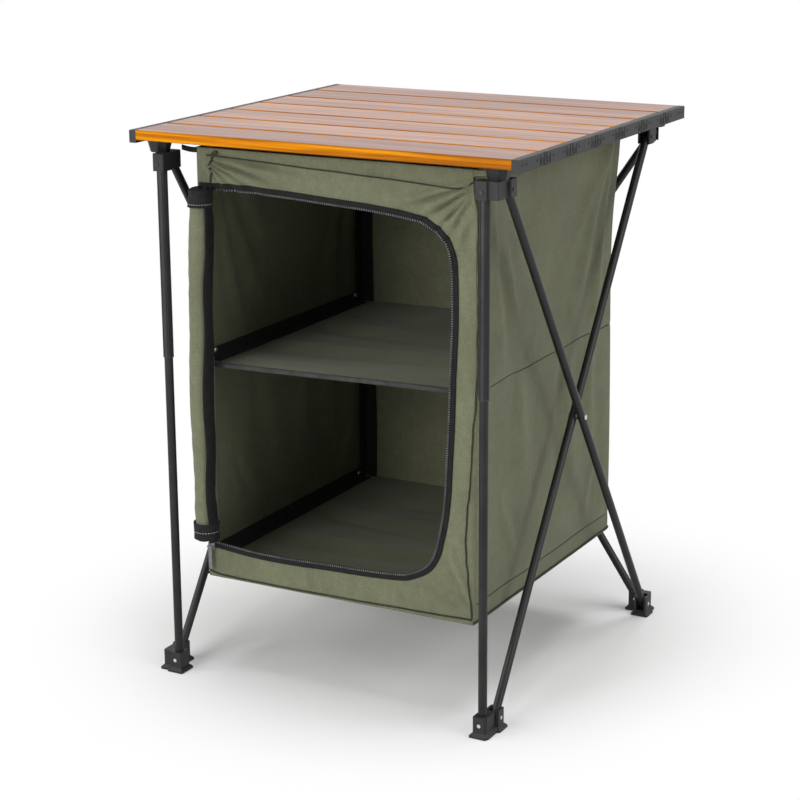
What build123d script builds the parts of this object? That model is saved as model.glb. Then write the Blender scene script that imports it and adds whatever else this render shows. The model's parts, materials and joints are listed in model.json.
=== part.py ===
"""Folding camping table: a roll top of hinged slats on a scissor frame, with a zipped cloth cupboard.

Millimetres. +X is the user's right, +Y the back, +Z up. The origin is on the floor under the middle.
"""

from build123d import *
import os

os.makedirs("parts", exist_ok=True)

# Overall
table_height = 798.0
top_width = 600.0

# Roll top
slat_count = 7
slat_width = 76.0
slat_gap = 6.0
slat_thickness = 14.0
slat_edge_chamfer = 1.2
cap_thickness = 11.0
cap_drop = 4.0
cap_edge_chamfer = 1.2
cap_face_gap = 0.4
tenon_length = 16.0
tenon_width = 52.0
tenon_thickness = 6.0
tenon_clearance = 0.1
knuckle_radius = 4.5
knuckle_clearance = 0.4
ear_width = 3.0
ear_clearance = 0.2
hinge_pin_diameter = 3.4
hinge_pin_clearance = 0.1
knuckle_root = 0.8

# Scissor frame: the pins stand at the same half spacing along X and Y, so that all three scissors fold alike
frame_inset = 50.0
foot_pin_height = 18.0
hub_pin_drop = 30.0
leg_plane_offset = 29.25
back_plane_offset = 24.0
side_plane_offset = 10.5

# Tubes
brace_diameter = 12.0
brace_gap = 1.0
brace_overhang = 7.0
leg_lower_diameter = 12.4
leg_wall = 1.2
leg_slide_clearance = 0.1
leg_upper_length = 285.0
leg_overlap = 195.0
leg_overhang = 8.0

# Hubs and feet
cheek = 3.5
slot_clearance = 0.3
socket_clearance = 0.05
wing_reach = 10.0
wing_pad = 18.0
wing_edge = 1.2
corner_step = 4.0
slot_end_room = 10.0
slot_mouth_room = 1.0
hub_below_pin = 10.0
hub_above_pin = 14.0
hub_roof = 4.0
seat_offset_x = 12.0
seat_offset_y = 15.0
seat_radius = 18.0
seat_sides = 8
seat_taper = 14.0
seat_gap = 0.3
foot_sole = 8.0
foot_above_pin = 12.0
foot_flare = 4.0
foot_pad = 3.0

# Rivets
small_round_sides = 8
rivet_diameter = 3.6
rivet_clearance = 0.1
rivet_head_radius = 2.8
rivet_head_height = 1.0
rivet_blind_gap = 0.5
pivot_head_radius = 4.0
washer_radius = 5.0
washer_side_gap = 0.1

# Cloth cupboard
cupboard_side_room = 32.0
cupboard_front_room = 7.0
cupboard_height = 625.0
cupboard_drop = 17.0
cloth = 2.0
cloth_gap = 0.3
tab_height = 16.0
tab_drop = 3.0
tab_thickness = 2.4
floor_height = 26.0
shelf_height = 326.0
shelf_thickness = 6.0
shelf_setback = 8.0
rail_height = 17.0
rail_thickness = 3.0
rail_end_room = 16.0
shelf_rivet_radius = 4.0
shelf_rivet_height = 1.6
shelf_rivet_inset = 10.0
strap_leg = 12.0
strap_thickness = 1.6
back_slack = 29.0
back_slack_share = 0.275
back_foot_slack = 21.0
back_foot_share = 0.22

# Door and zip
door_left_margin = 20.0
door_right_margin = 35.0
door_bottom_margin = 52.0
door_top_margin = 55.0
door_right_radius = 55.0
zip_width = 9.0
zip_thickness = 1.2
zip_tail = 16.0
roll_radius = 15.0
roll_waist = 13.5
roll_from_corner = 17.0
roll_end_room = 2.0
roll_gap = 0.5
tie_zone = 24.0
tie_thickness = 1.5
tie_height = 18.0
slider_width = 10.0
slider_height = 11.0
slider_thickness = 3.4
slider_rise = 0.3
pull_length = 34.0
pull_width = 5.6
pull_thickness = 1.6
pull_pin_diameter = 1.6
pull_pin_clearance = 0.1
pull_ear = 1.4
pull_eye_wall = 1.1
pull_end_radius = 2.4
pull_side_gap = 0.3
pull_pin_stand = 2.4

# Worked-out places
top_depth = slat_count * slat_width + (slat_count - 1) * slat_gap
slat_pitch = slat_width + slat_gap
underside = table_height - slat_thickness
hub_pin_z = underside - hub_pin_drop
hub_bottom = hub_pin_z - hub_below_pin
hub_top = hub_pin_z + hub_above_pin
pin_half_spacing = top_width / 2 - frame_inset
leg_plane = pin_half_spacing + leg_plane_offset
back_plane = pin_half_spacing + back_plane_offset
side_plane = pin_half_spacing + side_plane_offset
plane_shift = (brace_diameter + brace_gap) / 2
brace_half = brace_diameter / 2 + slot_clearance + cheek
leg_upper_diameter = leg_lower_diameter + 2 * (leg_slide_clearance + leg_wall)
leg_half = leg_upper_diameter / 2 + socket_clearance + cheek
wing_end = pin_half_spacing - wing_reach
cap_bottom = underside - cap_drop
hinge_z = cap_bottom + knuckle_radius

half_x = pin_half_spacing - cupboard_side_room
half_y = pin_half_spacing - cupboard_front_room
cupboard_top = underside - cupboard_drop
cupboard_bottom = cupboard_top - cupboard_height
inner_x = half_x - cloth - cloth_gap
inner_y = half_y - cloth - cloth_gap
floor_top = cupboard_bottom + floor_height
shelf_top = cupboard_bottom + shelf_height
door_left = -half_x + door_left_margin
door_right = half_x - door_right_margin
door_bottom = cupboard_bottom + door_bottom_margin
door_top = cupboard_top - door_top_margin
zip_front = half_y + zip_thickness
tab_bottom = cupboard_top - tab_drop - tab_height

# The back hangs straight from the tabs, then slants in to its slackest place and out again towards the floor
rear_knots = (
    (half_y, cupboard_top),
    (half_y, tab_bottom),
    (half_y - back_slack, cupboard_top - back_slack_share * cupboard_height),
    (half_y - back_foot_slack, cupboard_bottom + back_foot_share * cupboard_height),
    (half_y - back_foot_slack, cupboard_bottom),
)


def save(part, name):
    """Label a finished piece and write it out."""
    part.label = name
    export_step(part, f"parts/{name}.step")


def small_bar(centre, way, radius, length, mode=Mode.ADD):
    """A bar along X or Y with few sides, for the many small rivets and for the holes round them."""
    start = Vector(*centre) - Vector(*way) * (length / 2)
    with BuildSketch(Plane(origin=start, z_dir=way)) as outline:
        RegularPolygon(radius, small_round_sides, major_radius=mode == Mode.ADD)
    extrude(outline.sketch, amount=length, mode=mode)


def slat_centre(index):
    """Y of a slat's middle, counted from the front."""
    return (index - (slat_count - 1) / 2) * slat_pitch


# Slats, with a mortise in each end for the caps
for i in range(slat_count):
    slat_length = top_width - 2 * cap_thickness
    with BuildPart() as slat:
        with Locations((0, slat_centre(i), table_height - slat_thickness / 2)):
            Box(slat_length, slat_width, slat_thickness)
        chamfer(slat.edges().filter_by(Axis.X), slat_edge_chamfer)
        for side in (-1, 1):
            mortise = tenon_length + tenon_clearance
            middle_x = side * (slat_length / 2 - mortise / 2)
            with Locations((middle_x, slat_centre(i), table_height - slat_thickness / 2)):
                Box(
                    mortise,
                    tenon_width + 2 * tenon_clearance,
                    tenon_thickness + 2 * tenon_clearance,
                    mode=Mode.SUBTRACT,
                )
    save(slat.part, f"slat_{i + 1}")


# End caps: a block on the slat's end, a tongue towards the next slat and a fork towards the slat before
tongue_width = cap_thickness - 2 * (ear_width + ear_clearance)
for i in range(slat_count):
    centre = slat_centre(i)
    has_fork = i > 0
    has_tongue = i < slat_count - 1
    front = centre - (slat_pitch - cap_face_gap if has_fork else slat_width) / 2
    back = centre + (slat_pitch - cap_face_gap if has_tongue else slat_width) / 2
    fork_y = centre - slat_pitch / 2
    tongue_y = centre + slat_pitch / 2
    cap_height = table_height - cap_bottom
    with BuildPart() as caps:
        for side in (-1, 1):
            middle_x = side * (top_width - cap_thickness) / 2
            with Locations((middle_x, (front + back) / 2, (table_height + cap_bottom) / 2)):
                Box(cap_thickness, back - front, cap_height)
        chamfer(caps.edges().filter_by(Axis.Y).group_by(Axis.Z)[-1], cap_edge_chamfer)
        for side in (-1, 1):
            middle_x = side * (top_width - cap_thickness) / 2
            tenon_x = side * (top_width / 2 - cap_thickness - tenon_length / 2)
            with Locations((tenon_x, centre, table_height - slat_thickness / 2)):
                Box(tenon_length, tenon_width, tenon_thickness)
            room = knuckle_radius + knuckle_clearance
            for hinge_y, present in ((fork_y, has_fork), (tongue_y, has_tongue)):
                if present:
                    with Locations((middle_x, hinge_y, hinge_z)):
                        Box(cap_thickness, 2 * room, 2 * room, mode=Mode.SUBTRACT)
            root = knuckle_radius + knuckle_clearance + knuckle_root
            if has_tongue:
                with Locations((middle_x, tongue_y, hinge_z)):
                    Cylinder(knuckle_radius, tongue_width, rotation=(0, 90, 0))
                with Locations((middle_x, tongue_y - root / 2, hinge_z)):
                    Box(tongue_width, root, 2 * knuckle_radius)
                bore = hinge_pin_diameter / 2 + hinge_pin_clearance
                small_bar((middle_x, tongue_y, hinge_z), (1, 0, 0), bore, cap_thickness, Mode.SUBTRACT)
            if has_fork:
                for ear in (-1, 1):
                    ear_x = middle_x + ear * (cap_thickness - ear_width) / 2
                    with Locations((ear_x, fork_y, hinge_z)):
                        Cylinder(knuckle_radius, ear_width, rotation=(0, 90, 0))
                    with Locations((ear_x, fork_y + root / 2, hinge_z)):
                        Box(ear_width, root, 2 * knuckle_radius)
                small_bar((middle_x, fork_y, hinge_z), (1, 0, 0), hinge_pin_diameter / 2, cap_thickness)
    save(caps.part, f"slat_{i + 1}_caps")


# Braces: (name, along, plane, sign of the end that stands at the top)
braces = {
    "left_brace_a": ("Y", -side_plane - plane_shift, 1),
    "left_brace_b": ("Y", -side_plane + plane_shift, -1),
    "right_brace_a": ("Y", side_plane - plane_shift, 1),
    "right_brace_b": ("Y", side_plane + plane_shift, -1),
    "back_brace_a": ("X", back_plane - plane_shift, -1),
    "back_brace_b": ("X", back_plane + plane_shift, 1),
}
rise = hub_pin_z - foot_pin_height
brace_length = ((2 * pin_half_spacing) ** 2 + rise**2) ** 0.5


def brace_plane(along, offset, top_sign):
    """A plane at the middle of a brace, its Z along the tube and its X along the pins."""
    up = Vector(0, 2 * pin_half_spacing * top_sign, rise)
    pin_way = Vector(1, 0, 0)
    middle = Vector(offset, 0, foot_pin_height + rise / 2)
    if along == "X":
        up = Vector(2 * pin_half_spacing * top_sign, 0, rise)
        pin_way = Vector(0, 1, 0)
        middle = Vector(0, offset, foot_pin_height + rise / 2)
    return Plane(origin=middle, x_dir=pin_way, z_dir=up)


for name, (along, offset, top_sign) in braces.items():
    with BuildPart(brace_plane(along, offset, top_sign)) as brace:
        Cylinder(brace_diameter / 2, brace_length + 2 * brace_overhang)
        for station in (-brace_length / 2, 0, brace_length / 2):
            with Locations((0, 0, station)):
                Cylinder(
                    rivet_diameter / 2 + rivet_clearance,
                    2 * brace_diameter,
                    rotation=(0, 90, 0),
                    mode=Mode.SUBTRACT,
                )
    save(brace.part, name)


# Corner pieces: which plane each wing's tube lies in, measured outwards from the middle
corners = {"fl": (-1, -1), "fr": (1, -1), "bl": (-1, 1), "br": (1, 1)}
inner_back, outer_back = back_plane - plane_shift, back_plane + plane_shift
inner_side, outer_side = side_plane - plane_shift, side_plane + plane_shift
hub_planes = {
    "fl": (leg_plane, inner_side),
    "fr": (leg_plane, outer_side),
    "bl": (inner_back, outer_side),
    "br": (outer_back, inner_side),
}
foot_planes = {
    "fl": (leg_plane, outer_side),
    "fr": (leg_plane, inner_side),
    "bl": (outer_back, inner_side),
    "br": (inner_back, outer_side),
}


def front_half(corner):
    """Half the thickness of the wing that faces the front or the back."""
    return leg_half if corner[0] == "f" else brace_half


def footprint(corner, planes, grow):
    """The L of two wings in plan: each wing ends in a proud pad, and the corner between them is set back."""
    sx, sy = corners[corner]
    plane_y, plane_x = planes[corner]
    half = front_half(corner)
    low = wing_end - grow
    pad_end = wing_end + wing_pad + grow
    inner_u, outer_u = plane_x - brace_half - grow, plane_x + brace_half + grow
    inner_v, outer_v = plane_y - half - grow, plane_y + half + grow
    blocks = (
        ((low, inner_v), (pad_end, outer_v)),
        ((low, inner_v), (outer_u - corner_step, outer_v - corner_step)),
        ((inner_u, low), (outer_u, pad_end)),
        ((inner_u, low), (outer_u - corner_step, outer_v - corner_step)),
    )
    for (u0, v0), (u1, v1) in blocks:
        with Locations((sx * (u0 + u1) / 2, sy * (v0 + v1) / 2)):
            Rectangle(u1 - u0, v1 - v0)


def cut_for_tubes(corner, planes, pin_z, slot_low, slot_high, socket_low, socket_high, lower):
    """Slots for the brace ends, or a round socket for a front leg, and the rivet holes."""
    sx, sy = corners[corner]
    plane_y, plane_x = planes[corner]
    slot = brace_diameter + 2 * slot_clearance
    slot_start = wing_end - foot_flare - slot_mouth_room
    slot_length = pin_half_spacing + slot_end_room - slot_start
    slot_middle = slot_start + slot_length / 2
    slot_z = (slot_low + slot_high) / 2
    with Locations((sx * plane_x, sy * slot_middle, slot_z)):
        Box(slot, slot_length, slot_high - slot_low, mode=Mode.SUBTRACT)
    if corner[0] == "f":
        leg_radius = (leg_lower_diameter if lower else leg_upper_diameter) / 2
        with Locations((sx * pin_half_spacing, sy * plane_y, (socket_low + socket_high) / 2)):
            Cylinder(leg_radius + socket_clearance, socket_high - socket_low, mode=Mode.SUBTRACT)
    else:
        with Locations((sx * slot_middle, sy * plane_y, slot_z)):
            Box(slot_length, slot, slot_high - slot_low, mode=Mode.SUBTRACT)
    hole = rivet_diameter / 2 + rivet_clearance
    half = front_half(corner)
    front_depth = cheek if corner[0] == "f" else 2 * half
    front_pin = (sx * pin_half_spacing, sy * (plane_y + half - front_depth / 2), pin_z)
    side_pin = (sx * plane_x, sy * pin_half_spacing, pin_z)
    small_bar(front_pin, (0, 1, 0), hole, front_depth, Mode.SUBTRACT)
    small_bar(side_pin, (1, 0, 0), hole, 2 * brace_half, Mode.SUBTRACT)


# Hubs: the L of wings, open below, with a faceted seat on top that the slats rest on
slot_roof = hub_top - hub_roof
for corner, (sx, sy) in corners.items():
    with BuildPart() as hub:
        with BuildSketch(Plane.XY.offset(hub_bottom)) as outline:
            footprint(corner, hub_planes, 0)
            chamfer(outline.vertices(), wing_edge)
        extrude(amount=hub_top - hub_bottom)
        seat_top = underside - seat_gap
        seat_x = sx * (pin_half_spacing + seat_offset_x)
        seat_y = sy * (pin_half_spacing + seat_offset_y)
        with BuildSketch(Plane.XY.offset(seat_top)):
            with Locations((seat_x, seat_y)):
                RegularPolygon(seat_radius, seat_sides, rotation=180 / seat_sides)
        extrude(amount=hub_top - seat_top, taper=seat_taper)
        cut_for_tubes(
            corner,
            hub_planes,
            hub_pin_z,
            hub_bottom,
            slot_roof,
            hub_bottom,
            hub_pin_z + leg_overhang,
            False,
        )
    save(hub.part, f"hub_{corner}")


# Feet: the L of wings, open above, on a flared sole
foot_top = foot_pin_height + foot_above_pin
for corner in corners:
    with BuildPart() as foot:
        with BuildSketch() as sole:
            footprint(corner, foot_planes, foot_flare)
            chamfer(sole.vertices(), wing_edge)
        extrude(amount=foot_pad)
        with BuildSketch(Plane.XY.offset(foot_pad)) as flare_low:
            add(sole.sketch)
        with BuildSketch(Plane.XY.offset(foot_pad + foot_flare)) as flare_high:
            footprint(corner, foot_planes, 0)
            chamfer(flare_high.vertices(), wing_edge)
        loft([flare_low.sketch, flare_high.sketch], ruled=True)
        extrude(flare_high.sketch, amount=foot_top - foot_pad - foot_flare)
        cut_for_tubes(
            corner,
            foot_planes,
            foot_pin_height,
            foot_sole,
            foot_top,
            foot_pin_height - leg_overhang,
            foot_top,
            True,
        )
    save(foot.part, f"foot_{corner}")


def rivet(head_at, way, length, head_radius):
    """A rivet whose head sits at head_at and whose shank runs against way, a unit vector along X or Y."""
    outwards = Vector(*way)
    seat = Vector(*head_at)
    small_bar(seat - outwards * (length / 2), way, rivet_diameter / 2, length)
    small_bar(seat + outwards * (rivet_head_height / 2), way, head_radius, rivet_head_height)


def corner_rivets(corner, planes, pin_z, name):
    """The two rivets of a hub or foot, headed on its outer faces."""
    sx, sy = corners[corner]
    plane_y, plane_x = planes[corner]
    half = front_half(corner)
    front_depth = cheek if corner[0] == "f" else 2 * half
    with BuildPart() as rivets:
        rivet(
            (sx * pin_half_spacing, sy * (plane_y + half), pin_z),
            (0, sy, 0),
            front_depth - rivet_blind_gap,
            rivet_head_radius,
        )
        rivet(
            (sx * (plane_x + brace_half), sy * pin_half_spacing, pin_z),
            (sx, 0, 0),
            2 * brace_half - rivet_blind_gap,
            rivet_head_radius,
        )
    save(rivets.part, name)


for corner in corners:
    corner_rivets(corner, hub_planes, hub_pin_z, f"hub_{corner}_rivets")
    corner_rivets(corner, foot_planes, foot_pin_height, f"foot_{corner}_rivets")


# Pivots where the braces cross: a rivet through both tubes, with a washer between them
def pivot(name, along, middle, outer_sign):
    """A crossing pivot; along is the rivet's axis, and its head is on the outer side."""
    way = (outer_sign, 0, 0) if along == "X" else (0, outer_sign, 0)
    half = plane_shift + brace_diameter / 2 + rivet_clearance
    with BuildPart() as pin:
        rivet(Vector(*middle) + Vector(*way) * half, way, 2 * half, pivot_head_radius)
        back_way = tuple(-w for w in way)
        rivet(Vector(*middle) - Vector(*way) * half, back_way, half, pivot_head_radius)
        small_bar(middle, way, washer_radius, brace_gap - 2 * washer_side_gap)
    save(pin.part, name)


cross_z = (hub_pin_z + foot_pin_height) / 2
pivot("left_pivot", "X", (-side_plane, 0, cross_z), -1)
pivot("right_pivot", "X", (side_plane, 0, cross_z), 1)
pivot("back_pivot", "Y", (0, back_plane, cross_z), 1)


# Front legs: a wide upper tube held by the hub, sliding over a slim lower tube held by the foot
leg_top = hub_pin_z + leg_overhang
leg_step = leg_top - leg_upper_length
leg_bottom = foot_pin_height - leg_overhang


def leg_tube(name, side, low, high, diameter, bore):
    """One tube of a front leg."""
    with BuildPart() as tube:
        with Locations((side * pin_half_spacing, -leg_plane, (low + high) / 2)):
            Cylinder(diameter / 2, high - low)
            Cylinder(bore / 2, high - low, mode=Mode.SUBTRACT)
    save(tube.part, name)


for label, side in (("fl", -1), ("fr", 1)):
    upper_bore = leg_lower_diameter + 2 * leg_slide_clearance
    lower_bore = leg_lower_diameter - 2 * leg_wall
    lower_top = leg_step + leg_overlap
    leg_tube(f"leg_{label}_upper", side, leg_step, leg_top, leg_upper_diameter, upper_bore)
    leg_tube(f"leg_{label}_lower", side, leg_bottom, lower_top, leg_lower_diameter, lower_bore)


def slab(low, high):
    """A plain panel between two corners, added to the current part."""
    low, high = Vector(*low), Vector(*high)
    size = high - low
    with Locations((low + high) * 0.5):
        Box(size.X, size.Y, size.Z)


def rear_at(z):
    """How far back the cupboard reaches at a height."""
    for (y0, z0), (y1, z1) in zip(rear_knots, rear_knots[1:]):
        if z1 <= z <= z0:
            return y0 + (y1 - y0) * (z0 - z) / (z0 - z1)
    return rear_knots[0][0]


def rear_line(inset, low, high):
    """The back's bent line from a high to a low place, as (y, z), moved in by an inset."""
    heights = [high, *(z for _, z in rear_knots if low < z < high), low]
    return [(rear_at(z) - inset, z) for z in heights]


def rear_inside(low, high):
    """The furthest back that a piece inside the cupboard may reach between two heights."""
    return min(y for y, _ in rear_line(cloth + cloth_gap, low, high))


def upright(outline, x_low, x_high):
    """A panel with a flat outline in YZ, added to the current part."""
    with BuildSketch(Plane.YZ.offset(x_low)) as shape:
        with BuildLine():
            Polyline(*outline, close=True)
        make_face()
    extrude(shape.sketch, amount=x_high - x_low)


# Side walls, with a webbing tab at each top corner that reaches the hub's front or back wing
def side_wall(name, side, front_corner, back_corner):
    """A cloth wall in the YZ plane and its two corner tabs."""
    with BuildPart() as wall:
        near, far = sorted((side * half_x, side * (half_x - cloth)))
        front_edge = [(-half_y, cupboard_bottom), (-half_y, cupboard_top)]
        upright(front_edge + rear_line(0, cupboard_bottom, cupboard_top), near, far)
        for corner in (front_corner, back_corner):
            sy = corners[corner][1]
            end_x = wing_end - cloth_gap
            end_y = hub_planes[corner][0] - front_half(corner) + (cheek - tab_thickness) / 2
            with BuildSketch(Plane.XY.offset(tab_bottom)):
                with BuildLine():
                    Polyline(
                        (side * half_x, sy * (half_y - cloth)),
                        (side * end_x, sy * end_y),
                        (side * end_x, sy * (end_y + tab_thickness)),
                        (side * (half_x - cloth), sy * (half_y - cloth)),
                        close=True,
                    )
                make_face()
            extrude(amount=tab_height)
    save(wall.part, name)


side_wall("wall_left", -1, "fl", "bl")
side_wall("wall_right", 1, "fr", "br")

with BuildPart() as wall_back:
    outside = rear_line(0, cupboard_bottom, cupboard_top)
    inside = rear_line(cloth, cupboard_bottom, cupboard_top)
    upright(outside + inside[::-1], -inner_x, inner_x)
save(wall_back.part, "wall_back")

with BuildPart() as roof_panel:
    slab((-inner_x, -inner_y, cupboard_top - cloth), (inner_x, inner_y, cupboard_top))
save(roof_panel.part, "roof_panel")

with BuildPart() as floor_shelf:
    floor_rear = rear_inside(floor_top - shelf_thickness, floor_top)
    slab((-inner_x, -inner_y, floor_top - shelf_thickness), (inner_x, floor_rear, floor_top))
save(floor_shelf.part, "floor_shelf")

with BuildPart() as mid_shelf:
    shelf_rear = rear_inside(shelf_top - shelf_thickness, shelf_top)
    slab((-inner_x, shelf_setback - half_y, shelf_top - shelf_thickness), (inner_x, shelf_rear, shelf_top))
save(mid_shelf.part, "mid_shelf")


def right_rounded(left, right, bottom, top, radius):
    """A rectangle with its two right-hand corners rounded, as a flat sketch."""
    with BuildSketch() as outline:
        with Locations(((left + right) / 2, (bottom + top) / 2)):
            Rectangle(right - left, top - bottom)
        fillet(outline.vertices().group_by(Axis.X)[-1], radius)
    return outline.sketch


# Front panel with the door opening, rounded at the right where the zip runs round it
door_shape = right_rounded(door_left, door_right, door_bottom, door_top, door_right_radius)
with BuildPart() as front_panel:
    with BuildSketch(Plane.XZ.offset(half_y - cloth)):
        with Locations((0, (cupboard_bottom + cupboard_top) / 2)):
            Rectangle(2 * inner_x, cupboard_height)
        add(door_shape, mode=Mode.SUBTRACT)
    extrude(amount=cloth)
save(front_panel.part, "front_panel")

# Zip tape along the top, right and bottom of the opening
tape_left = door_left - zip_tail
tape_shape = right_rounded(
    tape_left,
    door_right + zip_width,
    door_bottom - zip_width,
    door_top + zip_width,
    door_right_radius + zip_width,
)
tape_inside = right_rounded(tape_left, door_right, door_bottom, door_top, door_right_radius)
with BuildPart() as zip_tape:
    with BuildSketch(Plane.XZ.offset(half_y)):
        add(tape_shape)
        add(tape_inside, mode=Mode.SUBTRACT)
    extrude(amount=zip_thickness)
save(zip_tape.part, "zip_tape")

# Door rolled up at the left: a soft roll drawn in at both ends by the ties
roll_x = -half_x + roll_from_corner
roll_y = -(zip_front + roll_gap + roll_radius)
roll_bottom = door_bottom + roll_end_room
roll_top = door_top - roll_end_room
with BuildPart() as door_roll:
    with BuildSketch(Plane.XZ.offset(-roll_y)):
        with BuildLine(Location((roll_x, 0))):
            waist_low = (roll_waist, roll_bottom + tie_zone)
            waist_high = (roll_waist, roll_top - tie_zone)
            Polyline((0, roll_bottom), (roll_waist, roll_bottom), waist_low)
            ThreePointArc(waist_low, (roll_radius, (roll_bottom + roll_top) / 2), waist_high)
            Polyline(waist_high, (roll_waist, roll_top), (0, roll_top), (0, roll_bottom))
        make_face()
    revolve(axis=Axis((roll_x, roll_y, 0), (0, 0, 1)))
save(door_roll.part, "door_roll")

# Ties: a webbing band round the roll at each end, sewn to the front panel by a short tab
with BuildPart() as door_ties:
    band_bore = roll_waist + cloth_gap
    for height in (roll_bottom + tie_zone / 2, roll_top - tie_zone / 2):
        with Locations((roll_x, roll_y, height)):
            Cylinder(band_bore + tie_thickness, tie_height)
        with Locations((roll_x, (roll_y - half_y) / 2, height)):
            Box(tie_thickness, -half_y - roll_y, tie_height)
        with Locations((roll_x, roll_y, height)):
            Cylinder(band_bore, tie_height, mode=Mode.SUBTRACT)
save(door_ties.part, "door_ties")

# Zip slider at the lower left end of the zip, with two ears and a pin for its pull
slider_x = tape_left + slider_width / 2
slider_z = door_bottom - zip_width / 2
slider_back = -(zip_front + slider_rise)
slider_front = slider_back - slider_thickness
pull_y = slider_front - pull_pin_stand
ear_span = pull_width + 2 * pull_side_gap
ear_depth = pull_pin_stand + pull_pin_diameter
with BuildPart() as zip_slider:
    with Locations((slider_x, (slider_back + slider_front) / 2, slider_z)):
        Box(slider_width, slider_thickness, slider_height)
    for ear in (-1, 1):
        ear_x = slider_x + ear * (ear_span + pull_ear) / 2
        with Locations((ear_x, slider_front - ear_depth / 2, slider_z)):
            Box(pull_ear, ear_depth, 2 * pull_pin_diameter)
    with Locations((slider_x, pull_y, slider_z)):
        Cylinder(pull_pin_diameter / 2, ear_span, rotation=(0, 90, 0))
save(zip_slider.part, "zip_slider")

# Pull: a slim tab hanging from the slider's pin
with BuildPart() as zip_pull:
    with BuildSketch(Plane.XZ.offset(-pull_y - pull_thickness / 2)) as tab:
        with Locations((slider_x, slider_z - pull_length / 2)):
            Rectangle(pull_width, pull_length)
        fillet(tab.vertices().group_by(Axis.Y)[0], pull_end_radius)
    extrude(amount=pull_thickness)
    with Locations((slider_x, pull_y, slider_z)):
        bore = pull_pin_diameter / 2 + pull_pin_clearance
        Cylinder(bore + pull_eye_wall, pull_width, rotation=(0, 90, 0))
        Cylinder(bore, pull_width, rotation=(0, 90, 0), mode=Mode.SUBTRACT)
save(zip_pull.part, "zip_pull")

# Side strips on both shelves, and the rivets at their ends
rail_front = rail_end_room - inner_y


def rail_back(base):
    """Where the side strips on a shelf end at the back."""
    return rear_inside(base, base + rail_height) - rail_end_room


with BuildPart() as shelf_rails:
    for base in (floor_top, shelf_top):
        for near, far in ((-inner_x, rail_thickness - inner_x), (inner_x - rail_thickness, inner_x)):
            slab((near, rail_front, base), (far, rail_back(base), base + rail_height))
save(shelf_rails.part, "shelf_rails")

with BuildPart() as shelf_rivets:
    for base in (floor_top, shelf_top):
        for side in (-1, 1):
            for end_y in (rail_front + shelf_rivet_inset, rail_back(base) - shelf_rivet_inset):
                face_x = side * (inner_x - rail_thickness - shelf_rivet_height / 2)
                middle = (face_x, end_y, base + rail_height / 2)
                small_bar(middle, (1, 0, 0), shelf_rivet_radius, shelf_rivet_height)
save(shelf_rivets.part, "shelf_rivets")

# Webbing folded into the two back corners, in two lengths, one above each shelf
with BuildPart() as corner_straps:
    spans = (
        (floor_top + cloth_gap, shelf_top - shelf_thickness - cloth_gap),
        (shelf_top + cloth_gap, cupboard_top - cloth - cloth_gap),
    )
    inset = cloth + cloth_gap
    for low, high in spans:
        edge = rear_line(inset, low, high)
        on_side = edge + rear_line(inset + strap_leg, low, high)[::-1]
        on_back = edge + rear_line(inset + strap_thickness, low, high)[::-1]
        upright(on_side, -inner_x, strap_thickness - inner_x)
        upright(on_back, -inner_x, strap_leg - inner_x)
        upright(on_side, inner_x - strap_thickness, inner_x)
        upright(on_back, inner_x - strap_leg, inner_x)
save(corner_straps.part, "corner_straps")
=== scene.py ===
import json
import math

import bpy
import numpy as np
from mathutils import Matrix, Vector


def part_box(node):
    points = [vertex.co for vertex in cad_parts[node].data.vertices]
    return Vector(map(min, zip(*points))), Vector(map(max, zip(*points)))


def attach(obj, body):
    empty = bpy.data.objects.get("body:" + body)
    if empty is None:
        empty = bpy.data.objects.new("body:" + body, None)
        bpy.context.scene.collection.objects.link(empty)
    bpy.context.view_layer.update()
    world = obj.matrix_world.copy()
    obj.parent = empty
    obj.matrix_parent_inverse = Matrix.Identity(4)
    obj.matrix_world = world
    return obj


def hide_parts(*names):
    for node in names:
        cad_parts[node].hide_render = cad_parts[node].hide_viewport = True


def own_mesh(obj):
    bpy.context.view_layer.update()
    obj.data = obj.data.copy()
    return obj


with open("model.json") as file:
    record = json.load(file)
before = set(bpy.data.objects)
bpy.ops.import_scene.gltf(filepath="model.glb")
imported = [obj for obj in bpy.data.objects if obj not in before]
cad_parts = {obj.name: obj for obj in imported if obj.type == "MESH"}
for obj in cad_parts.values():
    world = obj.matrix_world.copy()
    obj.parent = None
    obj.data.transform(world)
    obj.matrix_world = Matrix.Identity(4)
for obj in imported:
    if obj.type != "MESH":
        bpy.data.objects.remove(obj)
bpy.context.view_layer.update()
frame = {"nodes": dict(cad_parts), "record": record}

scene = bpy.context.scene
scene.view_settings.view_transform = "Standard"

# Camera, fitted to the photo
AZIMUTH, PITCH, ROLL = math.radians(28.75), math.radians(15.52), math.radians(-0.35)
EYE = Vector((1.44539, -2.68734, 1.2241))
FOCAL_PIXELS, PHOTO_PIXELS = 2126.23, 800.0
SENSOR_WIDTH = 36.0
FAR_CLIP = 200.0
ahead = Vector((-math.sin(AZIMUTH) * math.cos(PITCH), math.cos(AZIMUTH) * math.cos(PITCH), -math.sin(PITCH)))
level = Vector((math.cos(AZIMUTH), math.sin(AZIMUTH), 0.0))
upward = level.cross(ahead)
right = level * math.cos(ROLL) + upward * math.sin(ROLL)
above = upward * math.cos(ROLL) - level * math.sin(ROLL)
camera = bpy.data.objects.new("camera", bpy.data.cameras.new("camera"))
scene.collection.objects.link(camera)
camera.data.sensor_width = SENSOR_WIDTH
camera.data.lens = SENSOR_WIDTH * FOCAL_PIXELS / PHOTO_PIXELS
camera.data.clip_end = FAR_CLIP
turn = Matrix((right, above, -ahead)).transposed()
camera.matrix_world = Matrix.Translation(EYE) @ turn.to_4x4()
scene.camera = camera


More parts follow.
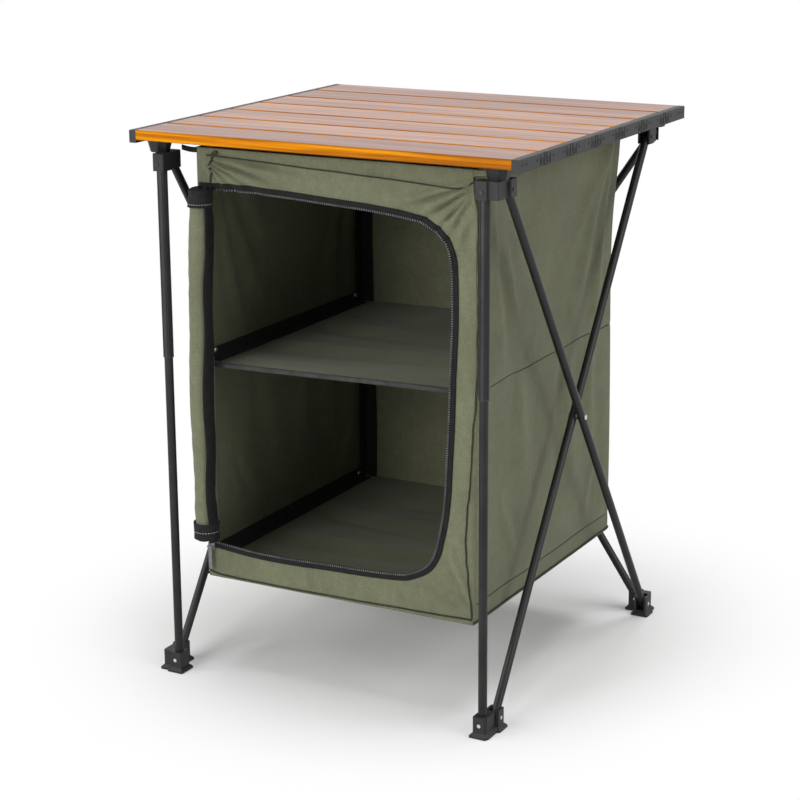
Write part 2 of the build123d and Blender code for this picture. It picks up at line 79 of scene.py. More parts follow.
# Materials
def linear(r, g, b):
    """An sRGB colour of 0 to 255 as a linear colour with alpha."""
    out = []
    for c in (r, g, b):
        c /= 255.0
        out.append(c / 12.92 if c <= 0.04045 else ((c + 0.055) / 1.055) ** 2.4)
    return (*out, 1.0)


class Nodes:
    """Short ways to fill a node tree."""

    def __init__(self, tree):
        self.tree = tree

    def feed(self, socket, value):
        """Links a socket to an output, or sets it to a constant."""
        if hasattr(value, "is_linked"):
            self.tree.links.new(value, socket)
        else:
            socket.default_value = value

    def node(self, kind, inputs=None, **settings):
        made = self.tree.nodes.new(kind)
        for key, value in settings.items():
            setattr(made, key, value)
        for key, value in (inputs or {}).items():
            self.feed(made.inputs[key], value)
        return made

    def add(self, a, b, how="ADD"):
        return self.node("ShaderNodeMath", {0: a, 1: b}, operation=how).outputs["Value"]

    def spread(self, value, low, high, to_low, to_high, kind="LINEAR"):
        inputs = {"Value": value, "From Min": low, "From Max": high, "To Min": to_low, "To Max": to_high}
        return self.node("ShaderNodeMapRange", inputs, interpolation_type=kind).outputs["Result"]

    def seen(self):
        """1 for rays that show a thing to the eye: straight, in a gloss or through something clear."""
        path = self.node("ShaderNodeLightPath").outputs
        shown = self.add(path["Is Camera Ray"], path["Is Glossy Ray"], "MAXIMUM")
        return self.add(shown, path["Is Transmission Ray"], "MAXIMUM")


class Paint(Nodes):
    """A material under construction."""

    def __init__(self, name):
        self.material = bpy.data.materials.new(name)
        self.material.use_nodes = True
        super().__init__(self.material.node_tree)
        self.shader = self.tree.nodes["Principled BSDF"]
        self.place = self.node("ShaderNodeTexCoord").outputs["Object"]

    def give(self, **values):
        """Sets or links inputs of the shader, with _ for a space in their names."""
        for key, value in values.items():
            self.feed(self.shader.inputs[key.replace("_", " ")], value)

    def stretch(self, scale):
        return self.node("ShaderNodeMapping", {"Vector": self.place, "Scale": scale}).outputs["Vector"]

    def noise(self, vector, scale, detail=3.0, rough=0.55):
        inputs = {"Vector": vector, "Scale": scale, "Detail": detail, "Roughness": rough}
        return self.node("ShaderNodeTexNoise", inputs).outputs["Fac"]

    def wave(self, vector, scale, direction, distortion):
        inputs = {"Vector": vector, "Scale": scale, "Distortion": distortion, "Detail": 1.0}
        made = self.node("ShaderNodeTexWave", inputs, wave_type="BANDS", bands_direction=direction)
        return made.outputs["Fac"]

    def ramp(self, value, *stops):
        """Colours between stops of (place, sRGB colour)."""
        made = self.node("ShaderNodeValToRGB", {"Fac": value})
        while len(made.color_ramp.elements) < len(stops):
            made.color_ramp.elements.new(0.5)
        for element, (where, colour) in zip(made.color_ramp.elements, stops):
            element.position = where
            element.color = linear(*colour)
        return made.outputs["Color"]

    def mix(self, share, a, b):
        made = self.node("ShaderNodeMix", data_type="RGBA")
        sockets = {socket.identifier: socket for socket in made.inputs}
        for name, value in (("Factor_Float", share), ("A_Color", a), ("B_Color", b)):
            self.feed(sockets[name], value)
        return next(s for s in made.outputs if s.identifier == "Result_Color")

    def part(self, vector, axis):
        return self.node("ShaderNodeSeparateXYZ", {"Vector": vector}).outputs[axis]

    def bump(self, height, strength, distance):
        inputs = {"Height": height, "Strength": strength, "Distance": distance}
        self.give(Normal=self.node("ShaderNodeBump", inputs).outputs["Normal"])


def wood():
    """Lacquered slats: glossy on top and amber on the edges; the top's brown is muted to pink as a painted
    sheen, and each slat's top has painted shade of the gaps: a dark amber strip at the front and a dark line
    along the rear edge.
    """
    p = Paint("lacquered_wood")
    grain = p.noise(p.stretch((1.0, 40.0, 40.0)), 3.0, 4.0, 0.6)
    streak = p.noise(p.stretch((1.3, 230.0, 230.0)), 3.0, 2.0)
    board = p.node("ShaderNodeObjectInfo").outputs["Random"]
    tone = p.add(grain, p.spread(streak, 0.0, 1.0, -0.12, 0.12))
    tone = p.add(tone, p.spread(board, 0.0, 1.0, -0.08, 0.08))
    # face is the top's colour: the wood's brown muted towards pink, a painted sheen of the white light the
    # top reflects; edge is the wood's own amber.
    face = p.ramp(tone, (0.34, (88, 50, 36)), (0.5, (120, 77, 57)), (0.66, (156, 112, 90)))
    edge = p.ramp(tone, (0.36, (150, 84, 0)), (0.5, (194, 117, 0)), (0.64, (216, 148, 4)))
    # The next two ramps are painted shade of the gaps between slats: a darker amber for the front strip of
    # each slat's top, and a dark brown for the line along its rear edge.
    shaded_lip = p.ramp(tone, (0.3, (100, 54, 0)), (0.7, (162, 100, 2)))
    seam = p.ramp(tone, (0.3, (60, 30, 14)), (0.7, (96, 52, 24)))
    spot = p.node("ShaderNodeTexCoord").outputs
    # flat marks the upward faces, and top marks the upward faces behind the front strip: these take the
    # painted sheen colour.
    flat = p.spread(p.add(p.part(spot["Normal"], "Z"), 0.0, "ABSOLUTE"), 0.3, 0.9, 0.0, 1.0)
    across = p.part(spot["Generated"], "Y")
    top = p.add(flat, p.spread(across, 0.03, 0.048, 0.0, 1.0), "MULTIPLY")
    # rear marks the line of painted shade along each slat's rear edge.
    rear = p.spread(across, 0.972, 0.982, 0.0, 1.0)
    p.bump(streak, 0.12, 0.0006)
    p.give(
        Base_Color=p.mix(rear, p.mix(top, p.mix(flat, edge, shaded_lip), face), seam),
        Roughness=p.spread(streak, 0.2, 0.8, 0.3, 0.42),
        Coat_Weight=p.spread(top, 0.0, 1.0, 0.0, 0.14),
        Coat_Roughness=0.18,
        Specular_IOR_Level=p.spread(top, 0.0, 1.0, 0.08, 0.5),
    )
    return p.material


def plastic(name, dark, pale, rough, grain=0.12):
    p = Paint(name)
    mottle = p.noise(p.place, 60.0, 4.0)
    p.bump(p.noise(p.place, 1400.0, 2.0), grain, 0.0004)
    p.give(
        Base_Color=p.ramp(mottle, (0.35, dark), (0.7, pale)),
        Roughness=p.spread(mottle, 0.3, 0.7, rough - 0.06, rough + 0.07),
        Specular_IOR_Level=0.3,
    )
    return p.material


def tube_paint(name, dark, pale):
    p = Paint(name)
    cloud = p.noise(p.place, 26.0, 4.0)
    p.bump(p.noise(p.place, 900.0, 2.0), 0.1, 0.0003)
    p.give(
        Base_Color=p.ramp(cloud, (0.32, dark), (0.72, pale)),
        Roughness=p.spread(cloud, 0.3, 0.7, 0.34, 0.46),
        Specular_IOR_Level=0.27,
    )
    return p.material


def steel(name, dark, pale):
    p = Paint(name)
    scratch = p.noise(p.stretch((400.0, 400.0, 60.0)), 4.0, 3.0)
    p.give(
        Base_Color=p.ramp(scratch, (0.3, dark), (0.7, pale)),
        Roughness=p.spread(scratch, 0.3, 0.7, 0.3, 0.44),
        Metallic=1.0,
    )
    return p.material


def cloth(name, dark, middle, pale, weave, crease=1.0):
    """Woven cloth: weave is the relief of its threads, and crease is how crumpled and patchy it is, with
    painted shade in its crinkles.
    """
    p = Paint(name)
    warp = p.wave(p.stretch((1.0, 1.0, 0.02)), 260.0, "DIAGONAL", 0.4)
    weft = p.wave(p.place, 300.0, "Z", 0.5)
    slub = p.noise(p.stretch((30.0, 30.0, 700.0)), 1.0, 2.0)
    slub = p.add(slub, p.noise(p.stretch((700.0, 700.0, 30.0)), 1.0, 2.0))
    cloud = p.noise(p.place, 11.0, 5.0, 0.6)
    speck = p.noise(p.place, 620.0, 2.0)
    crinkle = p.noise(p.place, 85.0, 4.0, 0.6)
    # patch is the spread of the random patchy tone; fold is the strength of painted shade in the crinkles,
    # which darkens the colour in the hollows of the same crinkle noise that makes the relief.
    patch, fold = 0.14 + 0.22 * crease, 0.2 * crease
    mottle = p.spread(cloud, 0.2, 0.8, 0.5 - patch, 0.5 + patch)
    mottle = p.add(mottle, p.spread(crinkle, 0.3, 0.7, -fold, fold))
    threads = p.add(p.spread(slub, 0.6, 1.4, -0.07, 0.07), p.spread(speck, 0.3, 0.7, -0.24, 0.24))
    relief = p.add(p.add(p.add(warp, weft), slub), p.spread(crinkle, 0.25, 0.75, 0.0, 3.0 * crease))
    p.bump(relief, weave, 0.0006)
    p.give(
        Base_Color=p.ramp(p.add(mottle, threads), (0.12, dark), (0.5, middle), (0.88, pale)),
        Roughness=0.86,
        Specular_IOR_Level=0.22,
        Sheen_Weight=0.12,
        Sheen_Roughness=0.5,
    )
    return p.material


def webbing(name, dark, pale):
    p = Paint(name)
    rib = p.wave(p.place, 230.0, "Z", 0.3)
    twill = p.wave(p.place, 300.0, "DIAGONAL", 0.4)
    tone = p.add(p.noise(p.place, 90.0, 3.0), p.spread(rib, 0.0, 1.0, -0.1, 0.1))
    p.bump(p.add(rib, twill), 0.4, 0.0006)
    p.give(
        Base_Color=p.ramp(tone, (0.3, dark), (0.75, pale)),
        Roughness=0.78,
        Specular_IOR_Level=0.18,
        Sheen_Weight=0.04,
    )
    return p.material


def thread(name, dark, pale):
    p = Paint(name)
    ply = p.wave(p.place, 900.0, "DIAGONAL", 0.5)
    p.bump(ply, 0.3, 0.0003)
    p.give(Base_Color=p.ramp(ply, (0.2, dark), (0.8, pale)), Roughness=0.6)
    return p.material


WOOD = wood()
CAP = plastic("cap_moulding", (30, 31, 32), (46, 47, 48), 0.5)
JOINT = plastic("joint_moulding", (24, 24, 25), (36, 36, 37), 0.5)
TUBE = tube_paint("tube_coating", (20, 20, 20), (32, 32, 31))
LEG = tube_paint("leg_coating", (34, 34, 34), (52, 52, 51))
# One rivet steel in two copies: a dark one, and a much lighter one that is a painted highlight, so that some
# rivets show glints.
STEEL = steel("rivet_steel_dark", (48, 48, 50), (74, 74, 74))
GLINT_STEEL = steel("rivet_steel_glint", (176, 176, 178), (222, 222, 220))
GREEN = cloth("cupboard_cloth", (87, 89, 69), (99, 101, 79), (112, 114, 90), 0.3, 0.5)
# The shelves: the wall cloth darker and with less relief, the darkening being painted shade of the
# cupboard's inside.
SHELF = cloth("shelf_cloth", (74, 76, 55), (88, 89, 66), (102, 103, 78), 0.18, 0.15)
# Seams and the front's small loop: the wall cloth darkened, as painted shade of their tucks.
SEAM_SHADE = cloth("seam_shade", (38, 40, 28), (46, 48, 34), (56, 58, 42), 0.5)
PIPING = cloth("piping_cloth", (30, 32, 20), (38, 40, 26), (50, 52, 36), 0.5)
BLACK = webbing("black_webbing", (18, 18, 19), (30, 30, 31))
GREY = webbing("grey_binding", (46, 47, 45), (66, 67, 64))
TAPE = webbing("zip_tape_cloth", (12, 12, 13), (24, 24, 25))
TEETH = plastic("zip_teeth", (80, 80, 82), (114, 114, 114), 0.36, 0.05)
STITCH = thread("white_stitch", (170, 170, 166), (214, 214, 210))
PULL = plastic("pull_moulding", (92, 92, 94), (136, 136, 136), 0.34)
# Near-black plastic as painted shade: the pits, hinge rings and slits on the caps and the grooves of the
# legs.
RECESS_SHADE = plastic("recess_shade", (16, 16, 17), (24, 24, 25), 0.6)

SLOT_LOOK = {
    "slat_wood": WOOD,
    "cap_plastic": CAP,
    "joint_plastic": JOINT,
    "rivet_steel": STEEL,
    "brace_tube": TUBE,
    "leg_upper_tube": LEG,
    "leg_lower_tube": TUBE,
    "zip_metal": PULL,
    "zip_pull": PULL,
}
# Rivets on nodes with these prefixes, like the shelf rivets, take the lighter steel, a painted highlight;
# the rest take the dark steel.
GLINT_RIVETS = ("foot_", "left_", "right_", "back_")
for part in frame["record"]["subparts"]:
    look = SLOT_LOOK.get(part["material_slot"])
    if look is STEEL and part["node"].startswith(GLINT_RIVETS):
        look = GLINT_STEEL
    if look:
        node = frame["nodes"][part["node"]]
        node.data.materials.clear()
        node.data.materials.append(look)

# Places from the frame
front_low, front_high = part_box("front_panel")
tape_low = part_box("zip_tape")[0]
roll_low, roll_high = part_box("door_roll")
shelf_low, shelf_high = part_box("mid_shelf")
floor_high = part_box("floor_shelf")[1]
roof_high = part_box("roof_panel")[1]
rail_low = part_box("shelf_rails")[0]

# The cloth box, in metres: how far it stands past its solids, its corners and its cloth
SIDE_ROOM = 0.0023
TOP_RISE = 0.007
HALF_X = front_high.x + SIDE_ROOM
HALF_Y = -front_low.y
BOTTOM, TOP = front_low.z, front_high.z + TOP_RISE
TALL = TOP - BOTTOM
WRAP = 0.003
CORNER = 0.002
CLOTH_THICK = 0.0011
INSIDE_X = HALF_X - 0.002
INSIDE_FRONT = -HALF_Y + 0.002
REAR_INSET = 0.0016


# Mesh helpers
def step(low, high, value):
    """Smooth step from 0 to 1."""
    t = np.clip((np.asarray(value, float) - low) / (high - low), 0.0, 1.0)
    return t * t * (3.0 - 2.0 * t)


def hump(value, centre, width):
    """A bell from 0 to 1 and back."""
    return np.exp(-(((value - centre) / width) ** 2))


def unit(vectors):
    """Vectors scaled to length 1."""
    return vectors / np.linalg.norm(vectors, axis=-1, keepdims=True)


def around(count):
    """Angles at equal steps round a circle."""
    return np.linspace(0, 2 * math.pi, count + 1)[:-1]


def build(name, points, faces, material, slot, body, thick=0, offset=-1, way=None, node=None, smooth=True):
    """A mesh piece on a body; it may be thickened, get its own copy of its mesh where a way is given, and
    stand for a node.
    """
    mesh = bpy.data.meshes.new(name)
    mesh.from_pydata([tuple(map(float, p)) for p in points], [], faces)
    mesh.validate()
    mesh.materials.append(material)
    mesh.polygons.foreach_set("use_smooth", [smooth] * len(mesh.polygons))
    piece = bpy.data.objects.new(name, mesh)
    scene.collection.objects.link(piece)
    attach(piece, body)
    if thick:
        made = piece.modifiers.new("thickness", "SOLIDIFY")
        made.thickness = thick
        made.offset = offset
    if way:
        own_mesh(piece)
    if node:
        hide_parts(node)
    return piece


def grid_faces(rows, columns, closed=False, flip=False):
    """Quads of a grid of points, row after row; closed joins the last column to the first."""
    faces = []
    for i in range(rows - 1):
        for j in range(columns if closed else columns - 1):
            k = (j + 1) % columns
            a, b = i * columns, (i + 1) * columns
            quad = (a + j, a + k, b + k, b + j)
            faces.append(quad[::-1] if flip else quad)
    return faces


def woven(rows):
    """Points of a grid from lines that run along it side by side."""
    return np.stack(rows, axis=1).reshape(-1, 3)


def join(parts):
    """Points and faces of several (points, faces) pairs as one."""
    points, faces = [], []
    for some, quads in parts:
        base = len(points)
        points.extend(some)
        faces.extend(tuple(base + k for k in q) for q in quads)
    return points, faces


def brick(centre, axes, sizes):
    """A small box as (points, faces): centre, three unit axes and three full sizes."""
    half = [np.asarray(a, float) * s / 2 for a, s in zip(axes, sizes)]
    points = []
    for i in (-1, 1):
        for j in (-1, 1):
            for k in (-1, 1):
                points.append(np.asarray(centre, float) + i * half[0] + j * half[1] + k * half[2])
    faces = [(0, 1, 3, 2), (4, 6, 7, 5), (0, 4, 5, 1), (2, 3, 7, 6), (0, 2, 6, 4), (1, 5, 7, 3)]
    return points, faces


def sweep(line, normals, profile):
    """A closed profile of (across, out) points carried along a line with an outward normal at each point."""
    line, normals = np.asarray(line, float), np.asarray(normals, float)
    across = unit(np.cross(unit(np.gradient(line, axis=0)), normals))
    points = woven([line + a * across + o * normals for a, o in profile])
    count = len(profile)
    last = (len(line) - 1) * count
    ends = [tuple(range(count - 1, -1, -1)), tuple(last + k for k in range(count))]
    return list(points), grid_faces(len(line), count, closed=True) + ends


SINK = 0.0002


def strip_profile(width, height):
    """A flat seam that is sunk a little into the cloth."""
    w = width / 2
    return [(-w, -SINK), (w, -SINK), (w * 0.96, height * 0.8), (0.0, height), (-w * 0.96, height * 0.8)]


def round_profile(radius):
    return [(radius * math.cos(t), radius * math.sin(t)) for t in around(8)]


def curve_through(points, per_span):
    """A smooth line through points, sampled per_span times in each stretch."""
    points = np.asarray(points, float)
    ends = np.vstack([2 * points[0] - points[1], points, 2 * points[-1] - points[-2]])
    out = []
    for i in range(1, len(ends) - 2):
        a, b, c, d = ends[i - 1 : i + 3]
        for t in np.linspace(0, 1, per_span, endpoint=False):
            square, cube = 2 * a - 5 * b + 4 * c - d, 3 * b - a - 3 * c + d
            out.append(0.5 * (2 * b + (c - a) * t + square * t**2 + cube * t**3))
    out.append(points[-1])
    return np.array(out)


def lengths_along(line):
    """How far along a line each of its points lies."""
    return np.concatenate([[0], np.cumsum(np.linalg.norm(np.diff(line, axis=0), axis=1))])


def points_along(line, where):
    """Points of a flat line at some distances along it."""
    run = lengths_along(line)
    return np.stack([np.interp(where, run, line[:, k]) for k in range(2)], axis=1)


def spaced(line, count):
    """A flat line sampled again at equal steps."""
    return points_along(line, np.linspace(0, lengths_along(line)[-1], count))


def waves(seed, count, shortest, longest, size, stretch=(1.0, 1.0)):
    """A soft random surface: many sines whose directions and phases come from a seed."""
    draw = np.random.default_rng(seed)
    angle = draw.uniform(0, 2 * math.pi, count)
    length = np.exp(draw.uniform(math.log(shortest), math.log(longest), count))
    phase = draw.uniform(0, 2 * math.pi, count)

    def push(s, v):
        total = np.zeros(np.broadcast(s, v).shape)
        for a, w, p in zip(angle, length, phase):
            run = s * math.cos(a) * stretch[0] + v * math.sin(a) * stretch[1]
            total += np.sin(2 * math.pi * run / w + p) * w
        return size * total / (length.sum() * 0.5)

    return push


def creases(items):
    """Folds that run out from points: (s, v, degrees, length, width, height)."""

    def push(s, v):
        total = np.zeros(np.broadcast(s, v).shape)
        for s0, v0, degrees, length, width, height in items:
            c, n = math.cos(math.radians(degrees)), math.sin(math.radians(degrees))
            along = ((s - s0) * c + (v - v0) * n) / length
            aside = (v - v0) * c - (s - s0) * n
            spread = width * (0.55 + 1.1 * np.clip(along, 0, 1))
            shape = hump(aside, 0.0, spread) - 0.45 * hump(aside, 1.9 * spread, spread)
            total += height * shape * step(-0.02, 0.12, along) * (1 - step(0.45, 1.0, along))
        return total

    return push


def fan(s, folds):
    """Folds whose places are given from a top corner: (ds, dv, degrees, length, width, height)."""
    return [(s + ds, TALL + dv, *rest) for ds, dv, *rest in folds]


# Cloth faces
class Face:
    """A hung cloth face: a plan line given by its length, a height, and a push along the outward normal."""

    def __init__(self, plan, length, push):
        self.plan, self.length, self.push = plan, length, push

    def at(self, s, v, lift=0.0):
        s, v = np.broadcast_arrays(np.asarray(s, float), np.asarray(v, float))
        x, y, nx, ny = self.plan(s, v)
        out = self.push(s, v) + lift
        return np.stack([x + nx * out, y + ny * out, BOTTOM + v], axis=-1)

    def line(self, path, lift=0.0):
        """Points and normals along a path of (s, v)."""
        s, v = np.asarray(path, float).T
        _, _, nx, ny = self.plan(s, v)
        return self.at(s, v, lift), np.stack([nx, ny, np.zeros_like(nx)], axis=-1)


# How far the rear edge is drawn in, by height above the bottom: held at the top, slack below it
REAR_DRAW = curve_through(
    [
        (0.0, 0.0215), (0.13, 0.0208), (0.25, 0.0235), (0.366, 0.0278), (0.44, 0.029), (0.5, 0.024),
        (0.55, 0.0135), (0.595, 0.0045), (0.632, 0.0008),
    ],
    12,
)


def pulled_in(v):
    return np.interp(v, REAR_DRAW[:, 0], REAR_DRAW[:, 1])


def rear_at(z):
    """Where the back wall's inner face stands at a height."""
    return HALF_Y - pulled_in(z - BOTTOM) - REAR_INSET


BULGE = 0.0055
BULGE_START = 0.197
BULGE_DEPTH = 0.15


def bulge(v):
    """How far the front right edge is pulled out between the hub and the lower half."""
    return BULGE * step(0.25, 0.35, v) * (1 - step(0.57, 0.62, v))


def side_plan(side):
    """A side wall in plan: it wraps a little round the front and the back corner."""
    flat = WRAP - CORNER
    bend = CORNER * math.pi / 2
    straight = 2 * (HALF_Y - CORNER)
    length = 2 * (flat + bend) + straight

    def plan(s, v):
        rear = HALF_Y - pulled_in(v)
        run = rear + HALF_Y - 2 * CORNER
        a = s / length * (2 * (flat + bend) + run)
        t1 = np.clip((a - flat) / bend, 0, 1) * math.pi / 2
        t2 = np.clip((a - flat - bend - run) / bend, 0, 1) * math.pi / 2
        x = HALF_X - WRAP + np.clip(a, 0, flat) + CORNER * np.sin(t1) - CORNER * (1 - np.cos(t2))
        x = x - np.clip(a - flat - 2 * bend - run, 0, flat)
        y = -HALF_Y + CORNER * (1 - np.cos(t1)) + np.clip(a - flat - bend, 0, run) + CORNER * np.sin(t2)
        nx = np.sin(t1) * np.cos(t2)
        ny = -np.cos(t1) + np.sin(t2)
        size = np.sqrt(nx**2 + ny**2)
        if side > 0:
            x = x + bulge(v) * (1 - step(-HALF_Y, -HALF_Y + BULGE_DEPTH, y))
        return side * x, y, side * nx / size, ny / size

    return plan, length


def front_plan(s, v):
    zero = np.zeros_like(s)
    x = s - HALF_X
    return x + bulge(v) * step(BULGE_START, HALF_X, x), zero - HALF_Y, zero, zero - 1.0


def back_plan(s, v):
    zero = np.zeros_like(s)
    return HALF_X - s, HALF_Y - pulled_in(v), zero, zero + 1.0


# Heights of the level seams and of the hem above the bottom
MID_SEAM, LOW_SEAM = 0.331, 0.028
HEM = 0.009
HEM_LINE = HEM * 0.4
GROOVE_WIDTH = 0.004
STRAP_MIDDLE = 0.008


def seam_grooves(v, depth):
    return -depth * (hump(v, MID_SEAM, GROOVE_WIDTH) + hump(v, LOW_SEAM, GROOVE_WIDTH))


def held_top(v):
    """Less movement near the top edge, where the cloth hangs from the hubs."""
    return 0.25 + 0.75 * step(0.0, 0.05, TALL - v)


def calm(v):
    """Less movement where a shelf's webbing is sewn to the wall."""
    still = sum(hump(v, z + STRAP_MIDDLE - BOTTOM, 0.022) for z in (shelf_high.z, floor_high.z))
    return 1 - 0.85 * np.clip(still, 0, 1)


side_length = side_plan(1)[1]
side_folds = creases(
    fan(0.0, [
        (0.03, 0.02, -80, 0.42, 0.012, 0.0046), (0.03, 0.02, -68, 0.46, 0.014, 0.005),
        (0.03, 0.02, -56, 0.34, 0.014, 0.0042),
    ])
    + fan(side_length, [
        (-0.03, 0.02, -98, 0.44, 0.012, 0.005), (-0.03, 0.02, -112, 0.46, 0.016, 0.0052),
        (-0.02, 0.01, -130, 0.3, 0.014, 0.0036),
    ])
    + [
        (0.14, 0.36, -84, 0.3, 0.02, 0.004), (0.3, 0.34, -95, 0.32, 0.022, -0.0042),
        (0.4, 0.36, -88, 0.3, 0.016, 0.0036), (0.08, 0.16, -60, 0.16, 0.012, 0.003),
        (side_length - 0.06, 0.14, -120, 0.15, 0.012, 0.003),
    ]
)
side_soft = waves(11, 16, 0.06, 0.3, 0.0026, (1.0, 0.45))
side_fine = waves(12, 18, 0.018, 0.05, 0.0005)


def side_push(s, v):
    edge = step(0.004, 0.045, s) * step(0.004, 0.045, side_length - s) * step(-0.01, 0.035, v)
    soft = side_folds(s, v) + side_soft(s, v) + side_fine(s, v)
    return soft * edge * held_top(v) * calm(v) + seam_grooves(v, 0.0006)


# The front panel's folds fan out from its top corners, as ridges and as sharper valleys between them
front_length = 2 * HALF_X
front_folds = creases(
    fan(front_length, [
        (0.012, -0.012, 197, 0.2, 0.0056, 0.0026), (0.012, -0.016, 206, 0.18, 0.0054, 0.0034),
        (0.012, -0.018, 219, 0.16, 0.0054, 0.0038), (0.01, -0.02, 231, 0.15, 0.0054, 0.0038),
        (0.008, -0.022, 246, 0.17, 0.0054, 0.0032), (0.006, -0.016, 201, 0.17, 0.0021, -0.003),
        (0.006, -0.018, 213, 0.16, 0.0021, -0.0034), (0.006, -0.02, 226, 0.15, 0.0021, -0.0034),
        (0.004, -0.022, 239, 0.15, 0.0021, -0.003),
    ])
    + fan(0.0, [
        (0.014, -0.012, -8, 0.18, 0.005, 0.0034), (0.014, -0.014, -20, 0.18, 0.0052, 0.0056),
        (0.014, -0.014, -33, 0.14, 0.0048, 0.0054), (0.014, -0.016, -48, 0.11, 0.0044, 0.0048),
        (0.014, -0.016, -66, 0.09, 0.0042, 0.004), (0.016, -0.014, -14, 0.17, 0.0021, -0.0034),
        (0.016, -0.014, -27, 0.16, 0.0021, -0.004), (0.016, -0.015, -41, 0.12, 0.002, -0.0036),
        (0.016, -0.016, -57, 0.09, 0.002, -0.0032),
    ])
    + [
        (front_length, 0.02, 150, 0.13, 0.006, 0.0022), (front_length, 0.03, 118, 0.16, 0.006, 0.0024),
        (front_length, 0.3, 100, 0.1, 0.005, 0.0018), (0.16, 0.05, -70, 0.05, 0.005, 0.0014),
        (0.24, 0.05, -95, 0.05, 0.006, 0.0016), (0.31, 0.05, -80, 0.05, 0.005, 0.0014),
    ]
)
FRONT_FOLD_GAIN = 1.7
front_soft = waves(21, 16, 0.05, 0.2, 0.0018)
front_fine = waves(22, 18, 0.016, 0.045, 0.0005)


def front_push(s, v):
    """The front's folds, calmer at its edges and beside the zip."""
    edge = step(0.006, 0.03, s) * (0.2 + 0.8 * step(0.0, 0.02, front_length - s)) * step(-0.01, 0.02, v)
    near = np.full(np.broadcast(s, v).shape, 1.0)
    for x, z in tape_line[::3]:
        near = np.minimum(near, np.hypot(s - HALF_X - x, v + BOTTOM - z))
    slack = 0.3 + 0.7 * step(0.008, 0.024, near)
    return (FRONT_FOLD_GAIN * front_folds(s, v) + front_soft(s, v) + front_fine(s, v)) * edge * slack


back_soft = waves(31, 18, 0.05, 0.28, 0.0036, (1.0, 0.55))
back_folds = creases(
    [
        (0.0, TALL, -25, 0.3, 0.01, 0.004), (0.0, TALL, -45, 0.34, 0.012, 0.0046),
        (0.0, TALL, -65, 0.36, 0.012, 0.004), (front_length, TALL, 205, 0.3, 0.01, 0.004),
        (front_length, TALL, 226, 0.34, 0.012, 0.0046), (front_length, TALL, 246, 0.36, 0.012, 0.004),
        (0.12, 0.3, -75, 0.26, 0.016, 0.0044), (0.28, 0.3, -105, 0.26, 0.016, 0.0044),
        (0.36, 0.2, -60, 0.2, 0.014, 0.0036),
    ]
)


def back_push(s, v):
    edge = step(0.006, 0.04, s) * step(0.006, 0.04, front_length - s) * step(-0.01, 0.03, v)
    soft = (back_folds(s, v) + back_soft(s, v)) * edge * held_top(v) * calm(v)
    return soft + seam_grooves(v, 0.001)


FRONT = Face(front_plan, front_length, front_push)
BACK = Face(back_plan, front_length, back_push)
SIDES = {side: Face(*side_plan(side), side_push) for side in (-1, 1)}
SIDE_BODY = {-1: "hub_bl", 1: "hub_br"}
FRONT_BODY = {-1: "hub_fl", 1: "hub_fr"}
SIDE_NAME = {-1: "left", 1: "right"}


def wall(name, node, face, body, way, inset, columns, rows, flip=False):
    """A plain cloth wall that stands for a node, as a grid of points."""
    s = np.linspace(inset, face.length - inset, columns)[None, :]
    v = np.linspace(0.0, TALL, rows)[:, None]
    points = face.at(s, v).reshape(-1, 3)
    faces = grid_faces(rows, columns, flip=flip)
    return build(name, points, faces, GREEN, "cloth_green", body, CLOTH_THICK, way=way, node=node)


def trim(name, face, path, profile, material, body, way, lift=0.0):
    """A seam, hem or piping laid along a path of (s, v) on a cloth face."""
    points, faces = sweep(*face.line(path, lift), profile)
    return build(name, points, faces, material, "cloth_green", body, way=way)


def level_path(inset, length, v, count, wobble=0.0, seed=1):
    s = np.linspace(inset, length - inset, count)
    shift = waves(seed, 6, 0.06, 0.25, wobble)(s, 0 * s) if wobble else 0.0
    return np.stack([s, v + shift + 0 * s], axis=1)


WALL_SEAM = strip_profile(0.0016, 0.0005)
WALL_PIPING = round_profile(0.0017)
TRIM_LIFT = 0.0006


def sew(word, face, body, way, insets, count, wobbles, seed):
    """The two level seams, in the darkened cloth that paints their shade, and the hem piping of a wall."""
    pieces = []
    for label, v, wobble in zip(("mid", "low"), (MID_SEAM, LOW_SEAM), wobbles):
        path = level_path(insets[0], face.length, v, count, wobble, seed)
        pieces.append(trim(f"{word}_{label}_seam", face, path, WALL_SEAM, SEAM_SHADE, body, way))
    path = level_path(insets[1], face.length, HEM_LINE, count)
    pieces.append(trim(f"{word}_hem_piping", face, path, WALL_PIPING, PIPING, body, way, TRIM_LIFT))
    return pieces


# Side walls and back wall
for side in (-1, 1):
    word, body, face = SIDE_NAME[side], SIDE_BODY[side], SIDES[side]
    piece = wall(f"{word}_wall_cloth", f"wall_{word}", face, body, "Y", 0.0, 96, 110, side < 0)
    seams = sew(word, face, body, "Y", (0.012, 0.002), 100, (0.0016, 0.001), 40 + side)

piece = wall("back_wall_cloth", "wall_back", BACK, "hub_bl", "X", WRAP, 84, 100)
seams = sew("back", BACK, "hub_bl", "X", (WRAP, WRAP), 90, (0.0012, 0.0012), 51)

# Front panel with the door opening; the zip tape's outer edge is a line of (x, z)
TAPE_WIDTH = 0.0105
TAPE_THICK = 0.0011
TAPE_START = tape_low.x + 0.001
DOOR_LEFT = tape_low.x + 0.0135
PANEL_UNDER_TAPE = 0.0012
tape_line = curve_through(
    [
        (TAPE_START, 0.725), (-0.15, 0.7262), (-0.09, 0.7245), (0.0, 0.7195), (0.07, 0.7155),
        (0.1325, 0.7085), (0.1616, 0.697), (0.1825, 0.677), (0.1922, 0.647), (0.1938, 0.5675),
        (0.1907, 0.4885), (0.1873, 0.3975), (0.1795, 0.2915), (0.1608, 0.2225), (0.125, 0.1945),
        (0.0835, 0.187), (-0.008, 0.1836), (-0.1165, 0.1812), (TAPE_START, 0.188),
    ],
    14,
)


